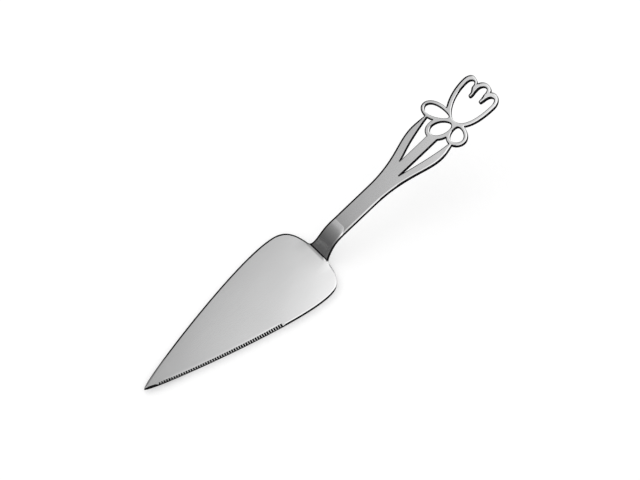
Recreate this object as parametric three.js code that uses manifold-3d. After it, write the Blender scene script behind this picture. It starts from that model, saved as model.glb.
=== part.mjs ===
// Cake lifter: a leaf-shaped blade lapped over the foot of a bent sheet handle and spot-welded to it.
// Millimetres, +Z up. +X runs along the lifter to the end of the handle, and the serrated edge faces -Y.
// The pieces are drawn from the line where the handle starts to bend up from its foot. The origin is the
// middle of the foot's underside, the flat that the lifter rests on.

import * as THREE from 'three';
import { mergeVertices } from 'three/addons/utils/BufferGeometryUtils.js';
import Module from 'manifold-3d';

// The two sheets and the lap between them
const BLADE_THICKNESS = 1.5;
const HANDLE_THICKNESS = 2;
const LAP_GAP = 0.1;

// Blade outline
const BLADE_LENGTH = 126.4;
const BLADE_WIDTH = 47.8;
const SHOULDER_SETBACK = 18.5; // rear edge to the widest place
const SHOULDER_RUN = 8; // rear edge to the pull that rounds the shoulder
const SHOULDER_DROP = 0.8;
const SIDE_RUN = 27.5; // how far the widest place draws the side out
const TIP_RUN = 1.7; // the blunt end of the point
const TIP_SPREAD = 3.4;

// Serrated edge, measured along the edge from the tip
const SERRATION_START = 9;
const SERRATION_LENGTH = 77;
const TOOTH_PITCH = 1.47;
const NOTCH_MOUTH = 0.95;
const NOTCH_ROOT = 0.6;
const NOTCH_CUT = 1;
const NOTCH_GROWTH = 0.6; // how much deeper the last notch is than the first

// Foot of the handle, under the blade
const FOOT_LENGTH = 24;
const FOOT_WIDTH = 14;
const SEAT_DEPTH = 1.75; // bend line to the blade's rear edge
const SEAT_START = 0.2; // bend line to the seat's lower edge, from where it leans back with the neck
const SEAT_CLEARANCE = 0.3;

// Side line of the handle, measured on its upper face
const NECK_ANGLE = 56;
const GRIP_ANGLE = 14.5;
const NECK_RISE = 12.5;
const FOOT_BEND_RADIUS = 1;
const CROOK_RADIUS = 17;

// Neck, strap and stem, seen from above
const FLARE_START = 0.8;
const FLARE_END = 9;
const FLARE_RUN = 1.2; // pulls that round the flare at the foot and at the strap
const FLARE_DROP = 1.2;
const FLARE_SETTLE = 5.6;
const STRAP_WIDTH = 10.6;
const STRAP_LENGTH = 36;
const STEM_WIDTH = 5.8;

// Oval loops: centre, half length, half width, turn of the fuller end, fullness and band of metal
const UPPER_LOOP = { x: 95.2, y: 9.1, long: 7.5, wide: 3, turn: 107.7, egg: 0.32, band: 2 };
const CENTRE_LOOP = { x: 90.3, y: 0.65, long: 6, wide: 3.6, turn: 149.9, egg: 0.11, band: 2.55 };
const LOWER_LOOP = { x: 93.9, y: -8.8, long: 4.3, wide: 3.6, turn: 222.6, egg: 0.32, band: 2.2 };

// Leaves: where the outer edge leaves the strap, its crest, where the slot begins, and the point inside
// the loop that both edges run to, measured from the loop's centre
const UPPER_LEAF = {
  side: 1, start: 41.4, swell: 21, fill: 11.5, crest: 80.9, reach: 12.95,
  crotch: 62.6, crotchRun: 5.8, crotchRise: 1.7, slotRun: 19.5, slotDrop: 3.5,
  loop: UPPER_LOOP, tipX: -2.3, tipY: 2.3, tipRun: 4, tipRise: 0.9,
};
const LOWER_LEAF = {
  side: -1, start: 37.4, swell: 22, fill: 9.8, crest: 79.2, reach: 12.7,
  crotch: 56.8, crotchRun: 8.6, crotchRise: 1.9, slotRun: 13, slotDrop: 0.6,
  loop: LOWER_LOOP, tipX: -1.5, tipY: 0.8, tipRun: 5, tipRise: 1.4,
};

// Tulip, measured from the base of its cup
const TULIP_BASE = 95.85;
const CUP_WIDTH = 25.1;
const CUP_LENGTH = 21.5;
const CUP_FILL = 10; // how full the cup is beside its base, towards the serrated edge
const CUP_OPEN_WIDTH = 19.6;
const CUP_OPEN_SHIFT = -0.4;
const CUP_OPEN_BASE = -1.4; // the opening's middle at the cup's base
const CUP_OPEN_FILL = 7.5;
const CUP_BASE_BAND = 2.4;
const UPPER_PETAL = { tip: 26.7, middle: 9.2, band: 2.1, lean: -1.9 };
const MIDDLE_PETAL = { tip: 28.7, middle: -0.3, band: 2.15, lean: -0.4 };
const LOWER_PETAL = { tip: 27.9, middle: -7.3, band: 2.7, lean: -0.9 };
const UPPER_NOTCH = { x: 24.4, y: 4.7 };
const LOWER_NOTCH = { x: 26, y: -4.4 };

// Folds that stand in the tulip's opening: rounded end, and the two corners of the root
const UPPER_FOLD = { tip: 16.8, middle: 2.45, topX: 22.7, topY: 5.6, lowX: 23, lowY: 1.95 };
const LOWER_FOLD = { tip: 18.3, middle: -4.2, topX: 24.3, topY: -2.45, lowX: 21, lowY: -5.5 };
const FOLD_TIP_WIDTH = 2;
const FOLD_TIP_LENGTH = 1.2;

// Spot welds between blade and foot
const WELD_RADIUS = 2.2;
const WELD_BITE = 0.5;
const WELD_CLEARANCE = 0.05;
const WELD_EDGE = 6; // front weld to the foot's front end
const WELD_SETBACK = 5.5; // rear welds to the bend
const WELD_SPACING = 6.6;

// Fineness of the curves, and how far cutters run past what they cut
const CURVE_STEPS = 10;
const SIDE_STEPS = 24;
const LOOP_STEPS = 32;
const BEND_STEPS = 8;
const WELD_STEPS = 24;
const MERGE_DISTANCE = 1e-4;
const PAST = 5;

// Pull that makes a cubic curve follow a quarter of an ellipse
const QUARTER = 0.5523;

const neckAngle = THREE.MathUtils.degToRad(NECK_ANGLE);
const gripAngle = THREE.MathUtils.degToRad(GRIP_ANGLE);
const bladeHalf = BLADE_WIDTH / 2;
const footHalf = FOOT_WIDTH / 2;
const strapHalf = STRAP_WIDTH / 2;
const stemHalf = STEM_WIDTH / 2;
const bladeBottom = HANDLE_THICKNESS + LAP_GAP;
const bladeTip = SEAT_DEPTH - BLADE_LENGTH;
const bladeWidest = SEAT_DEPTH - SHOULDER_SETBACK;

const wasm = await Module();
wasm.setup();

// A closed geometry as a solid that can be joined and cut
function toSolid(geometry) {
  const bare = geometry.clone();
  bare.deleteAttribute('normal');
  bare.deleteAttribute('uv');
  const merged = mergeVertices(bare, MERGE_DISTANCE);
  const vertProperties = new Float32Array(merged.attributes.position.array);
  const triVerts = new Uint32Array(merged.index.array);
  return new wasm.Manifold(new wasm.Mesh({ numProp: 3, vertProperties, triVerts }));
}

// A solid as a named mesh with a steel of its own
function toMesh(name, solid, color, roughness) {
  const { vertProperties, triVerts } = solid.getMesh();
  const geometry = new THREE.BufferGeometry();
  geometry.setAttribute('position', new THREE.BufferAttribute(new Float32Array(vertProperties), 3));
  geometry.setIndex(new THREE.BufferAttribute(new Uint32Array(triVerts), 1));
  geometry.computeVertexNormals();
  const mesh = new THREE.Mesh(geometry, new THREE.MeshStandardMaterial({ color, roughness, metalness: 1 }));
  mesh.name = name;
  return mesh;
}

// An outline drawn in plan, raised between two heights
function raise(shape, low, high) {
  const options = { depth: high - low, bevelEnabled: false, curveSegments: CURVE_STEPS };
  const geometry = new THREE.ExtrudeGeometry(shape, options);
  geometry.translate(0, 0, low);
  return toSolid(geometry);
}

// A quarter of an ellipse that leaves the path's end along X and arrives along Y
function roundIn(path, x, y) {
  const from = path.currentPoint;
  path.bezierCurveTo(from.x + QUARTER * (x - from.x), from.y, x, y + QUARTER * (from.y - y), x, y);
}

// A quarter of an ellipse that leaves the path's end along Y and arrives along X
function roundOut(path, x, y) {
  const from = path.currentPoint;
  path.bezierCurveTo(from.x, from.y + QUARTER * (y - from.y), x + QUARTER * (from.x - x), y, x, y);
}

// A slow double curve that leaves the path's end and arrives along X
function easeTo(path, x, y) {
  const from = path.currentPoint;
  const middle = (from.x + x) / 2;
  path.bezierCurveTo(middle, from.y, middle, y, x, y);
}

// One long side of the blade, from the tip to the widest place
function bladeSide(side) {
  return new THREE.CubicBezierCurve(
    new THREE.Vector2(bladeTip, 0),
    new THREE.Vector2(bladeTip + TIP_RUN, side * TIP_SPREAD),
    new THREE.Vector2(bladeWidest - SIDE_RUN, side * bladeHalf),
    new THREE.Vector2(bladeWidest, side * bladeHalf)
  );
}

// Half of the blade's rear edge, from the widest place to the middle
function bladeShoulder(side) {
  return new THREE.CubicBezierCurve(
    new THREE.Vector2(bladeWidest, side * bladeHalf),
    new THREE.Vector2(SEAT_DEPTH - SHOULDER_RUN, side * bladeHalf),
    new THREE.Vector2(SEAT_DEPTH, side * (bladeHalf - SHOULDER_DROP)),
    new THREE.Vector2(SEAT_DEPTH, 0)
  );
}

// Points along a curve between two distances from its start
function stretch(curve, from, to) {
  const length = curve.getLength();
  const points = [];
  for (let i = 0; i <= CURVE_STEPS; i += 1) {
    points.push(curve.getPointAt((from + ((to - from) * i) / CURVE_STEPS) / length));
  }
  return points;
}

// The serrated side: a plain point, the teeth, then the plain edge up to the widest place
function serratedSide() {
  const curve = bladeSide(-1);
  const length = curve.getLength();
  const notches = Math.floor(SERRATION_LENGTH / TOOTH_PITCH);
  const points = stretch(curve, 0, SERRATION_START - TOOTH_PITCH / 2);
  for (let i = 0; i < notches; i += 1) {
    const middle = SERRATION_START + i * TOOTH_PITCH;
    const along = curve.getTangentAt(middle / length);
    const inward = new THREE.Vector2(-along.y, along.x);
    const depth = NOTCH_CUT + (NOTCH_GROWTH * i) / notches;
    const root = curve.getPointAt(middle / length).addScaledVector(inward, depth);
    points.push(curve.getPointAt((middle - NOTCH_MOUTH / 2) / length));
    points.push(root.clone().addScaledVector(along, -NOTCH_ROOT / 2));
    points.push(root.clone().addScaledVector(along, NOTCH_ROOT / 2));
    points.push(curve.getPointAt((middle + NOTCH_MOUTH / 2) / length));
  }
  const plain = SERRATION_START + notches * TOOTH_PITCH;
  return [...points, ...stretch(curve, plain, length)];
}

// The blade's outline, once round from the tip
function bladeOutline() {
  const lowerRear = bladeShoulder(-1).getPoints(CURVE_STEPS);
  const upperRear = bladeShoulder(1).getPoints(CURVE_STEPS).reverse();
  const upperSide = bladeSide(1).getSpacedPoints(SIDE_STEPS).reverse();
  return new THREE.Shape([
    ...serratedSide(),
    ...lowerRear.slice(1),
    ...upperRear.slice(1),
    ...upperSide.slice(1, -1),
  ]);
}

// Foot, neck, strap and stem in one outline; the stem runs into the centre loop
function stalkOutline() {
  const footRound = footHalf - FOOT_LENGTH;
  const pull = FLARE_START + FLARE_RUN;
  const waist = footHalf - FLARE_DROP;
  const settle = FLARE_END - FLARE_SETTLE;
  const path = new THREE.Shape();
  path.moveTo(footRound, -footHalf);
  path.lineTo(FLARE_START, -footHalf);
  path.bezierCurveTo(pull, -waist, settle, -strapHalf, FLARE_END, -strapHalf);
  path.lineTo(STRAP_LENGTH, -strapHalf);
  path.lineTo(STRAP_LENGTH, -stemHalf);
  path.lineTo(CENTRE_LOOP.x, -stemHalf);
  path.lineTo(CENTRE_LOOP.x, stemHalf);
  path.lineTo(STRAP_LENGTH, stemHalf);
  path.lineTo(STRAP_LENGTH, strapHalf);
  path.lineTo(FLARE_END, strapHalf);
  path.bezierCurveTo(settle, strapHalf, pull, waist, FLARE_START, footHalf);
  path.lineTo(footRound, footHalf);
  path.absarc(footRound, 0, footHalf, Math.PI / 2, (3 * Math.PI) / 2, false);
  return path;
}

// A leaf: out from the strap, over its crest to the point, and back along the slot to the stem
function leafOutline(leaf) {
  const { side, loop, crest } = leaf;
  const tipX = loop.x + leaf.tipX;
  const tipY = loop.y + side * leaf.tipY;
  const out = side * leaf.reach;
  const start = side * strapHalf;
  const stem = side * stemHalf;
  const path = new THREE.Shape();
  path.moveTo(STRAP_LENGTH - PAST, 0);
  path.lineTo(STRAP_LENGTH - PAST, start);
  path.lineTo(leaf.start, start);
  path.bezierCurveTo(leaf.start + leaf.swell, start, crest - leaf.fill, out, crest, out);
  path.bezierCurveTo(crest + leaf.tipRun, out, tipX - leaf.tipRun, tipY + side * leaf.tipRise, tipX, tipY);
  path.bezierCurveTo(
    tipX - leaf.slotRun, tipY - side * leaf.slotDrop,
    leaf.crotch + leaf.crotchRun, stem + side * leaf.crotchRise,
    leaf.crotch, stem
  );
  path.lineTo(leaf.crotch, 0);
  return path;
}

// An oval that is fuller towards one end, grown outwards by a margin
function ovalOutline(loop, margin) {
  const turn = THREE.MathUtils.degToRad(loop.turn);
  const along = new THREE.Vector2(Math.cos(turn), Math.sin(turn));
  const across = new THREE.Vector2(-along.y, along.x);
  const points = [];
  for (let i = 0; i < LOOP_STEPS; i += 1) {
    const angle = (2 * Math.PI * i) / LOOP_STEPS;
    const half = loop.wide * (1 + loop.egg * Math.cos(angle)) + margin;
    const point = new THREE.Vector2(loop.x, loop.y);
    point.addScaledVector(along, (loop.long + margin) * Math.cos(angle));
    point.addScaledVector(across, half * Math.sin(angle));
    points.push(point);
  }
  return new THREE.Shape(points);
}

// The tulip's outside: a cup, and three petals parted by two notches
function tulipOutline() {
  const half = CUP_WIDTH / 2;
  const path = new THREE.Shape();
  path.moveTo(CUP_LENGTH, -half);
  roundIn(path, LOWER_PETAL.tip, LOWER_PETAL.middle);
  roundOut(path, LOWER_NOTCH.x, LOWER_NOTCH.y);
  roundIn(path, MIDDLE_PETAL.tip, MIDDLE_PETAL.middle);
  roundOut(path, UPPER_NOTCH.x, UPPER_NOTCH.y);
  roundIn(path, UPPER_PETAL.tip, UPPER_PETAL.middle);
  roundOut(path, CUP_LENGTH, half);
  path.bezierCurveTo(CUP_LENGTH / 2, half, 0, half / 2, 0, 0);
  path.bezierCurveTo(0, -CUP_FILL, CUP_LENGTH / 2, -half, CUP_LENGTH, -half);
  return path;
}

// From one petal's opening round a fold to the next
function roundFold(path, fold) {
  const shoulder = fold.tip + FOLD_TIP_LENGTH;
  easeTo(path, shoulder, fold.middle - FOLD_TIP_WIDTH / 2);
  roundIn(path, fold.tip, fold.middle);
  roundOut(path, shoulder, fold.middle + FOLD_TIP_WIDTH / 2);
  easeTo(path, fold.topX, fold.topY);
}

// The far end of a petal's opening, up to the next corner
function roundPetal(path, petal, x, y) {
  roundIn(path, petal.tip - petal.band, petal.middle + petal.lean);
  roundOut(path, x, y);
}

// The tulip's opening, with the folds left standing
function tulipOpening() {
  const half = CUP_OPEN_WIDTH / 2;
  const low = CUP_OPEN_SHIFT - half;
  const high = CUP_OPEN_SHIFT + half;
  const base = CUP_BASE_BAND;
  const pull = CUP_LENGTH / 2;
  const path = new THREE.Shape();
  path.moveTo(CUP_LENGTH, low);
  roundPetal(path, LOWER_PETAL, LOWER_FOLD.lowX, LOWER_FOLD.lowY);
  roundFold(path, LOWER_FOLD);
  roundPetal(path, MIDDLE_PETAL, UPPER_FOLD.lowX, UPPER_FOLD.lowY);
  roundFold(path, UPPER_FOLD);
  roundPetal(path, UPPER_PETAL, CUP_LENGTH, high);
  path.bezierCurveTo(pull, high, base, CUP_OPEN_BASE + half / 2, base, CUP_OPEN_BASE);
  path.bezierCurveTo(base, -CUP_OPEN_FILL, pull, low, CUP_LENGTH, low);
  return path;
}

// A line along the handle's side at a depth under its upper face
function sideLine(depth, end) {
  const points = [new THREE.Vector2(-FOOT_LENGTH - PAST, HANDLE_THICKNESS - depth)];
  const footCentre = new THREE.Vector2(0, HANDLE_THICKNESS + FOOT_BEND_RADIUS);
  for (let i = 0; i <= BEND_STEPS; i += 1) {
    const angle = (neckAngle * i) / BEND_STEPS;
    const out = new THREE.Vector2(Math.sin(angle), -Math.cos(angle));
    points.push(footCentre.clone().addScaledVector(out, FOOT_BEND_RADIUS + depth));
  }
  const turn = neckAngle - gripAngle;
  const cornerX = FOOT_BEND_RADIUS * Math.tan(neckAngle / 2) + NECK_RISE / Math.tan(neckAngle);
  const neck = new THREE.Vector2(Math.cos(neckAngle), Math.sin(neckAngle));
  const crookCentre = new THREE.Vector2(cornerX, HANDLE_THICKNESS + NECK_RISE);
  crookCentre.addScaledVector(neck, -CROOK_RADIUS * Math.tan(turn / 2));
  crookCentre.addScaledVector(new THREE.Vector2(neck.y, -neck.x), CROOK_RADIUS);
  for (let i = 0; i <= BEND_STEPS; i += 1) {
    const angle = neckAngle - (turn * i) / BEND_STEPS;
    const out = new THREE.Vector2(-Math.sin(angle), Math.cos(angle));
    points.push(crookCentre.clone().addScaledVector(out, CROOK_RADIUS - depth));
  }
  const last = points[points.length - 1];
  points.push(new THREE.Vector2(end, last.y + (end - last.x) * Math.tan(gripAngle)));
  return points;
}

// A side view drawn in X and Z, given a width across Y
function widen(profile, width) {
  const geometry = new THREE.ExtrudeGeometry(profile, { depth: width, bevelEnabled: false });
  geometry.rotateX(Math.PI / 2);
  geometry.translate(0, width / 2, 0);
  return toSolid(geometry);
}

// The bent sheet, wider than the handle, before its outline is cut from it
function bentSheet(end) {
  const profile = new THREE.Shape([...sideLine(HANDLE_THICKNESS, end), ...sideLine(0, end).reverse()]);
  return widen(profile, BLADE_WIDTH + PAST);
}

// The handle: its outline from above, cut from the bent sheet
function handleSolid(weldPockets) {
  const end = TULIP_BASE + MIDDLE_PETAL.tip + PAST;
  const low = -PAST;
  const high = sideLine(0, end).at(-1).y + PAST;
  const loops = [UPPER_LOOP, CENTRE_LOOP, LOWER_LOOP];
  let plan = raise(tulipOutline(), low, high).translate(TULIP_BASE, 0, 0);
  for (const outline of [stalkOutline(), leafOutline(UPPER_LEAF), leafOutline(LOWER_LEAF)]) {
    plan = plan.add(raise(outline, low, high));
  }
  for (const loop of loops) {
    plan = plan.add(raise(ovalOutline(loop, loop.band), low, high));
  }
  for (const loop of loops) {
    plan = plan.subtract(raise(ovalOutline(loop, 0), low - PAST, high + PAST));
  }
  plan = plan.subtract(raise(tulipOpening(), low - PAST, high + PAST).translate(TULIP_BASE, 0, 0));
  return bentSheet(end).intersect(plan).subtract(weldPockets);
}

// The blade, with a seat in its rear edge that leans back along the neck
function bladeSolid(weldPockets) {
  const back = SEAT_DEPTH + PAST;
  const lean = PAST / Math.tan(neckAngle);
  const seat = new THREE.Shape([
    new THREE.Vector2(SEAT_START - lean, bladeBottom - PAST),
    new THREE.Vector2(back, bladeBottom - PAST),
    new THREE.Vector2(back, bladeBottom + PAST),
    new THREE.Vector2(SEAT_START + lean, bladeBottom + PAST),
  ]);
  const sheet = raise(bladeOutline(), bladeBottom, bladeBottom + BLADE_THICKNESS);
  return sheet.subtract(widen(seat, FOOT_WIDTH + 2 * SEAT_CLEARANCE)).subtract(weldPockets);
}

// A weld nugget bitten into both sheets, grown by a clearance to cut its pocket
function weldSolid(x, y, clearance) {
  const radius = WELD_RADIUS + clearance;
  const height = LAP_GAP + 2 * (WELD_BITE + clearance);
  const geometry = new THREE.CylinderGeometry(radius, radius, height, WELD_STEPS);
  geometry.rotateX(Math.PI / 2);
  geometry.translate(x, y, HANDLE_THICKNESS + LAP_GAP / 2);
  return toSolid(geometry);
}

const welds = [
  { name: 'spot_weld_front', x: WELD_EDGE - FOOT_LENGTH, y: 0 },
  { name: 'spot_weld_left', x: -WELD_SETBACK, y: WELD_SPACING / 2 },
  { name: 'spot_weld_right', x: -WELD_SETBACK, y: -WELD_SPACING / 2 },
];
const pockets = wasm.Manifold.union(welds.map(({ x, y }) => weldSolid(x, y, WELD_CLEARANCE)));

const pieces = new THREE.Group();
pieces.position.x = FOOT_LENGTH / 2;
pieces.add(toMesh('blade', bladeSolid(pockets), 0xc9cbcc, 0.3));
pieces.add(toMesh('handle', handleSolid(pockets), 0xc4c6c8, 0.32));
for (const { name, x, y } of welds) {
  pieces.add(toMesh(name, weldSolid(x, y, 0), 0x8f9194, 0.55));
}

const lifter = new THREE.Group();
lifter.name = 'cake_lifter';
lifter.add(pieces);

export default lifter;
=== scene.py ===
"""Cake lifter: a leaf-shaped steel blade lapped over the foot of a bent, pierced strap handle.

Sizes are in millimetres, drawn from the line where the handle bends up from its foot, with +X towards the
tulip, the serrated edge towards -Y and +Z up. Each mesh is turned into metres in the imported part's frame.
A point in the flat lies on a sheet's upper face before it is crowned or bent.
"""

import logging
import math
from abc import ABC, abstractmethod
from collections.abc import Callable
from dataclasses import dataclass, field
from enum import IntEnum
from typing import ClassVar, Self

import bpy
import numpy as np
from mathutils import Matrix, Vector
from mathutils.geometry import delaunay_2d_cdt


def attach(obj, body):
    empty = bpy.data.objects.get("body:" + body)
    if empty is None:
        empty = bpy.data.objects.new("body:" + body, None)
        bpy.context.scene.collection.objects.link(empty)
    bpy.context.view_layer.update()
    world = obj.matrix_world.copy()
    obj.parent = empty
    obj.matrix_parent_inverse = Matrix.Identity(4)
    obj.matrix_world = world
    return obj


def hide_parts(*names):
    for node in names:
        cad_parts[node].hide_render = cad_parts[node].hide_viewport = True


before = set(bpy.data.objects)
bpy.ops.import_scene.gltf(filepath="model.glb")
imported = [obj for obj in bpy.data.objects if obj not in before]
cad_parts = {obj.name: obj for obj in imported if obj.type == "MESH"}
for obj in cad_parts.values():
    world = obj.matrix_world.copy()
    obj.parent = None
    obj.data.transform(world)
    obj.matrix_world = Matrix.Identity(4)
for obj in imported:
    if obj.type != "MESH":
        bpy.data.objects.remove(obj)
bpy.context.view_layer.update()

LOG = logging.getLogger("cake_lifter")
MM = 0.001
BODY = "root"
BEND_LINE = 12.0  # the bend line's place in the part's frame
NECK_ANGLE = math.radians(56)  # how steeply the handle's neck rises from its foot
TOUCHING = 1e-6  # points closer than this are one
SAME_SPOT = 0.002  # points of a loop closer than this are thinned out
SLIVER = 0.05  # loops that enclose less are left out
EVERY_TRIANGLE = 0  # the mode of triangulation that drops none
CORNER_TURN = math.radians(24)  # a sharper turn is a corner
CORNER_STEPS = (0.25, 0.5, 0.75)  # where the points lie on a rounded corner
LONGEST_TRIM = 0.4  # the most that two corners may take from the path between them
ROW_CLEAR = 0.08  # how near, as a share of a step, a crossing may come to a loop's own point

Points = np.ndarray
Pair = tuple[float, float]
Triple = tuple[float, float, float]


class Side(IntEnum):
    """The two long sides of the lifter: the serrated edge is on the lower one."""

    UPPER = 1
    LOWER = -1


class Surface(IntEnum):
    """The finishes of a sheet, in the order of its material slots."""

    FACE = 0
    ARRIS = 1
    # sheared walls, burrs and steep rolled-edge facets, painted dark as shade
    CUT = 2


def ramp(values: Points, start: float, end: float) -> Points:
    """Shares that run from 0 at a start to 1 at an end, level beyond both."""
    return np.clip((values - start) / (end - start), 0, 1)


def between(first: float | Points, last: float | Points, share: float | Points) -> float | Points:
    """Values at shares of the way from one to another."""
    return first + (last - first) * share


def smooth(share: Points) -> Points:
    """Shares eased at both ends."""
    return share**2 * (3 - 2 * share)


def soft_slope(over: Points, soft: float) -> Points:
    """Heights of an even slope of 1 that starts softly.

    Args:
        over: Distances past the start.
        soft: The distance in which the slope grows.

    Returns:
        The height at each distance, 0 before the start.
    """
    over = np.maximum(over, 0)
    bend = np.minimum(over, soft)
    return bend**2 / (2 * soft) + over - bend


def unit(ways: Points) -> Points:
    """Directions brought to a length of 1."""
    return ways / np.linalg.norm(ways, axis=1)[:, None]


def run_along(path: Points) -> Points:
    """Distances along a path of points, from its start."""
    return np.concatenate([[0], np.cumsum(np.linalg.norm(np.diff(path, axis=0), axis=1))])


def crossings(u: Points, v: Points) -> Points:
    """The points where two sets of lines cross."""
    return np.stack(np.meshgrid(u, v), -1).reshape(-1, 2)


def cubic(hull: Points, t: Points) -> Points:
    """Points of a cubic curve.

    Args:
        hull: The curve's four control points.
        t: Shares of the way along, from 0 to 1.

    Returns:
        One point per share.
    """
    t = t[:, None]
    s = 1 - t
    return s**3 * hull[0] + 3 * s * s * t * hull[1] + 3 * s * t * t * hull[2] + t**3 * hull[3]


class Pen:
    """Draws one outline in plan as a chain of close points."""

    STEP = 0.12
    FEWEST = 3  # steps in the shortest curve
    QUARTER = 0.5523  # pull that makes a cubic curve follow a quarter of an ellipse

    def __init__(self, x: float, y: float) -> None:
        """Sets the pen down at a point."""
        self.chain: list[Pair] = [(x, y)]

    def line(self, x: float, y: float) -> Self:
        """Draws straight to a point."""
        self.chain.append((x, y))
        return self

    def curve(self, ax: float, ay: float, bx: float, by: float, x: float, y: float) -> Self:
        """Draws a cubic curve.

        Args:
            ax, ay: First pull.
            bx, by: Second pull.
            x, y: End point.

        Returns:
            The pen.
        """
        hull = np.array([self.chain[-1], (ax, ay), (bx, by), (x, y)])
        span = np.linalg.norm(np.diff(hull, axis=0), axis=1).sum()
        shares = np.linspace(0, 1, max(self.FEWEST, math.ceil(span / self.STEP)) + 1)[1:]
        self.chain.extend(map(tuple, cubic(hull, shares)))
        return self

    def round_in(self, x: float, y: float) -> Self:
        """Draws a quarter of an ellipse that leaves along X and arrives along Y."""
        sx, sy = self.chain[-1]
        return self.curve(sx + self.QUARTER * (x - sx), sy, x, y + self.QUARTER * (sy - y), x, y)

    def round_out(self, x: float, y: float) -> Self:
        """Draws a quarter of an ellipse that leaves along Y and arrives along X."""
        sx, sy = self.chain[-1]
        return self.curve(sx, sy + self.QUARTER * (y - sy), x + self.QUARTER * (sx - x), y, x, y)

    def ease(self, x: float, y: float) -> Self:
        """Draws a slow double curve that leaves and arrives along X."""
        sx, sy = self.chain[-1]
        return self.curve((sx + x) / 2, sy, (sx + x) / 2, y, x, y)

    def points(self) -> Points:
        """The outline drawn so far."""
        return np.array(self.chain)


class MeasuredCurve:
    """A cubic curve that is read by the distance along it."""

    SAMPLES = 1500
    FEWEST = 2  # steps in the shortest stretch
    PROBE = 0.2  # the step that directions are measured with

    def __init__(self, hull: list[Pair]) -> None:
        """Measures the curve of four control points.

        Args:
            hull: The control points.
        """
        self.track = cubic(np.array(hull), np.linspace(0, 1, self.SAMPLES))
        self.run = run_along(self.track)
        self.length = float(self.run[-1])

    def at(self, distance: float) -> Points:
        """The point at a distance from the start."""
        return np.array([np.interp(distance, self.run, self.track[:, k]) for k in (0, 1)])

    def along(self, distance: float) -> Points:
        """The direction of travel at a distance from the start."""
        step = self.at(distance + self.PROBE) - self.at(distance - self.PROBE)
        return step / np.linalg.norm(step)

    def left(self, distance: float) -> Points:
        """The direction to the left of the travel at a distance from the start."""
        along = self.along(distance)
        return np.array([-along[1], along[0]])

    def stretch(self, start: float, end: float, spacing: float) -> list[Points]:
        """Evenly spaced points between two distances."""
        count = max(self.FEWEST, math.ceil((end - start) / spacing))
        return [self.at(d) for d in np.linspace(start, end, count + 1)]


def signed_area(outline: Points) -> float:
    """The area an outline encloses, negative where it runs clockwise."""
    x, y = outline.T
    return float(np.dot(x, np.roll(y, -1)) - np.dot(y, np.roll(x, -1))) / 2


def triangulate(
    outlines: list[Points], holes: int, extra: Points
) -> tuple[Points, list[list[int]], list[list[int]]]:
    """Fills outlines with triangles.

    Args:
        outlines: Closed outlines, the openings last.
        holes: How many of them are openings.
        extra: Loose points to take into the triangles.

    Returns:
        The points, the triangles that lie in metal, and for each point the input points it stands for.
    """
    points: list[Vector] = []
    faces: list[list[int]] = []
    order: list[int] = []
    for outline in outlines:
        index = list(range(len(points), len(points) + len(outline)))
        clockwise = signed_area(outline) <= 0
        faces.append(index)
        order.extend(reversed(index) if clockwise else index)
        points.extend(Vector(p) for p in (outline[::-1] if clockwise else outline))
    order.extend(range(len(points), len(points) + len(extra)))
    points.extend(Vector(p) for p in extra)
    verts, _, tris, sources, _, owners = delaunay_2d_cdt(points, [], faces, EVERY_TRIANGLE, TOUCHING, True)
    first_hole = len(outlines) - holes
    metal = [t for t, ids in zip(tris, owners) if ids and max(ids) < first_hole]
    return np.array([tuple(v) for v in verts]), metal, [[order[i] for i in s] for s in sources]


def cut_plan(outlines: list[Points], openings: list[Points]) -> list[Points]:
    """Joins outlines and takes openings out of them.

    Args:
        outlines: Closed outlines of metal, which may overlap.
        openings: Closed outlines to cut away.

    Returns:
        The edge loops, with metal on the left, the outer one first.
    """
    verts, tris, _ = triangulate(outlines + openings, len(openings), np.zeros((0, 2)))
    edges = {(t[k], t[(k + 1) % 3]) for t in tris for k in range(3)}
    ahead = {a: b for a, b in edges if (b, a) not in edges}
    loops = []
    while ahead:
        start, here = ahead.popitem()
        chain = [start]
        while here != start:
            chain.append(here)
            here = ahead.pop(here)
        loops.append(verts[chain])
    loops = [loop for loop in loops if abs(signed_area(loop)) > SLIVER]
    return sorted(loops, key=signed_area, reverse=True)


def even_path(path: Points, spacing: float, trim: float) -> Points:
    """Spaces points evenly along a path.

    Args:
        path: Close points along the path.
        spacing: Distance between the new points, as nearly as the length allows.
        trim: How much of the path is left off at each end.

    Returns:
        The new points.
    """
    run = run_along(path)
    trim = min(trim, LONGEST_TRIM * run[-1])
    stops = np.linspace(trim, run[-1] - trim, max(1, round((run[-1] - 2 * trim) / spacing)) + 1)
    return np.stack([np.interp(stops, run, path[:, k]) for k in (0, 1)], 1)


def even_out(loop: Points, spacing: float, corner_cut: float) -> Points:
    """Spaces a loop's points evenly and softens its corners.

    Args:
        loop: Closed loop of close points.
        spacing: Distance between points on the way.
        corner_cut: How far from a corner its rounding starts.

    Returns:
        The new loop, in the same direction.
    """
    loop = loop[np.linalg.norm(loop - np.roll(loop, 1, axis=0), axis=1) > SAME_SPOT]
    before, after = loop - np.roll(loop, 1, axis=0), np.roll(loop, -1, axis=0) - loop
    turn = np.arctan2(before[:, 0] * after[:, 1] - before[:, 1] * after[:, 0], (before * after).sum(1))
    corners = np.flatnonzero(np.abs(turn) > CORNER_TURN)
    if len(corners) == 0:
        return even_path(np.concatenate([loop, loop[:1]]), spacing, 0)[:-1]
    paths = []
    for first, last in zip(corners, np.roll(corners, -1)):
        count = (last - first) % len(loop) or len(loop)
        paths.append(even_path(loop[(first + np.arange(count + 1)) % len(loop)], spacing, corner_cut))
    chain: list[Points] = []
    for corner, arriving, leaving in zip(loop[corners], [paths[-1], *paths[:-1]], paths):
        for t in CORNER_STEPS:
            chain.append((1 - t) ** 2 * arriving[-1] + 2 * t * (1 - t) * corner + t * t * leaving[0])
        chain.extend(leaving)
    return np.array(chain)


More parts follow.
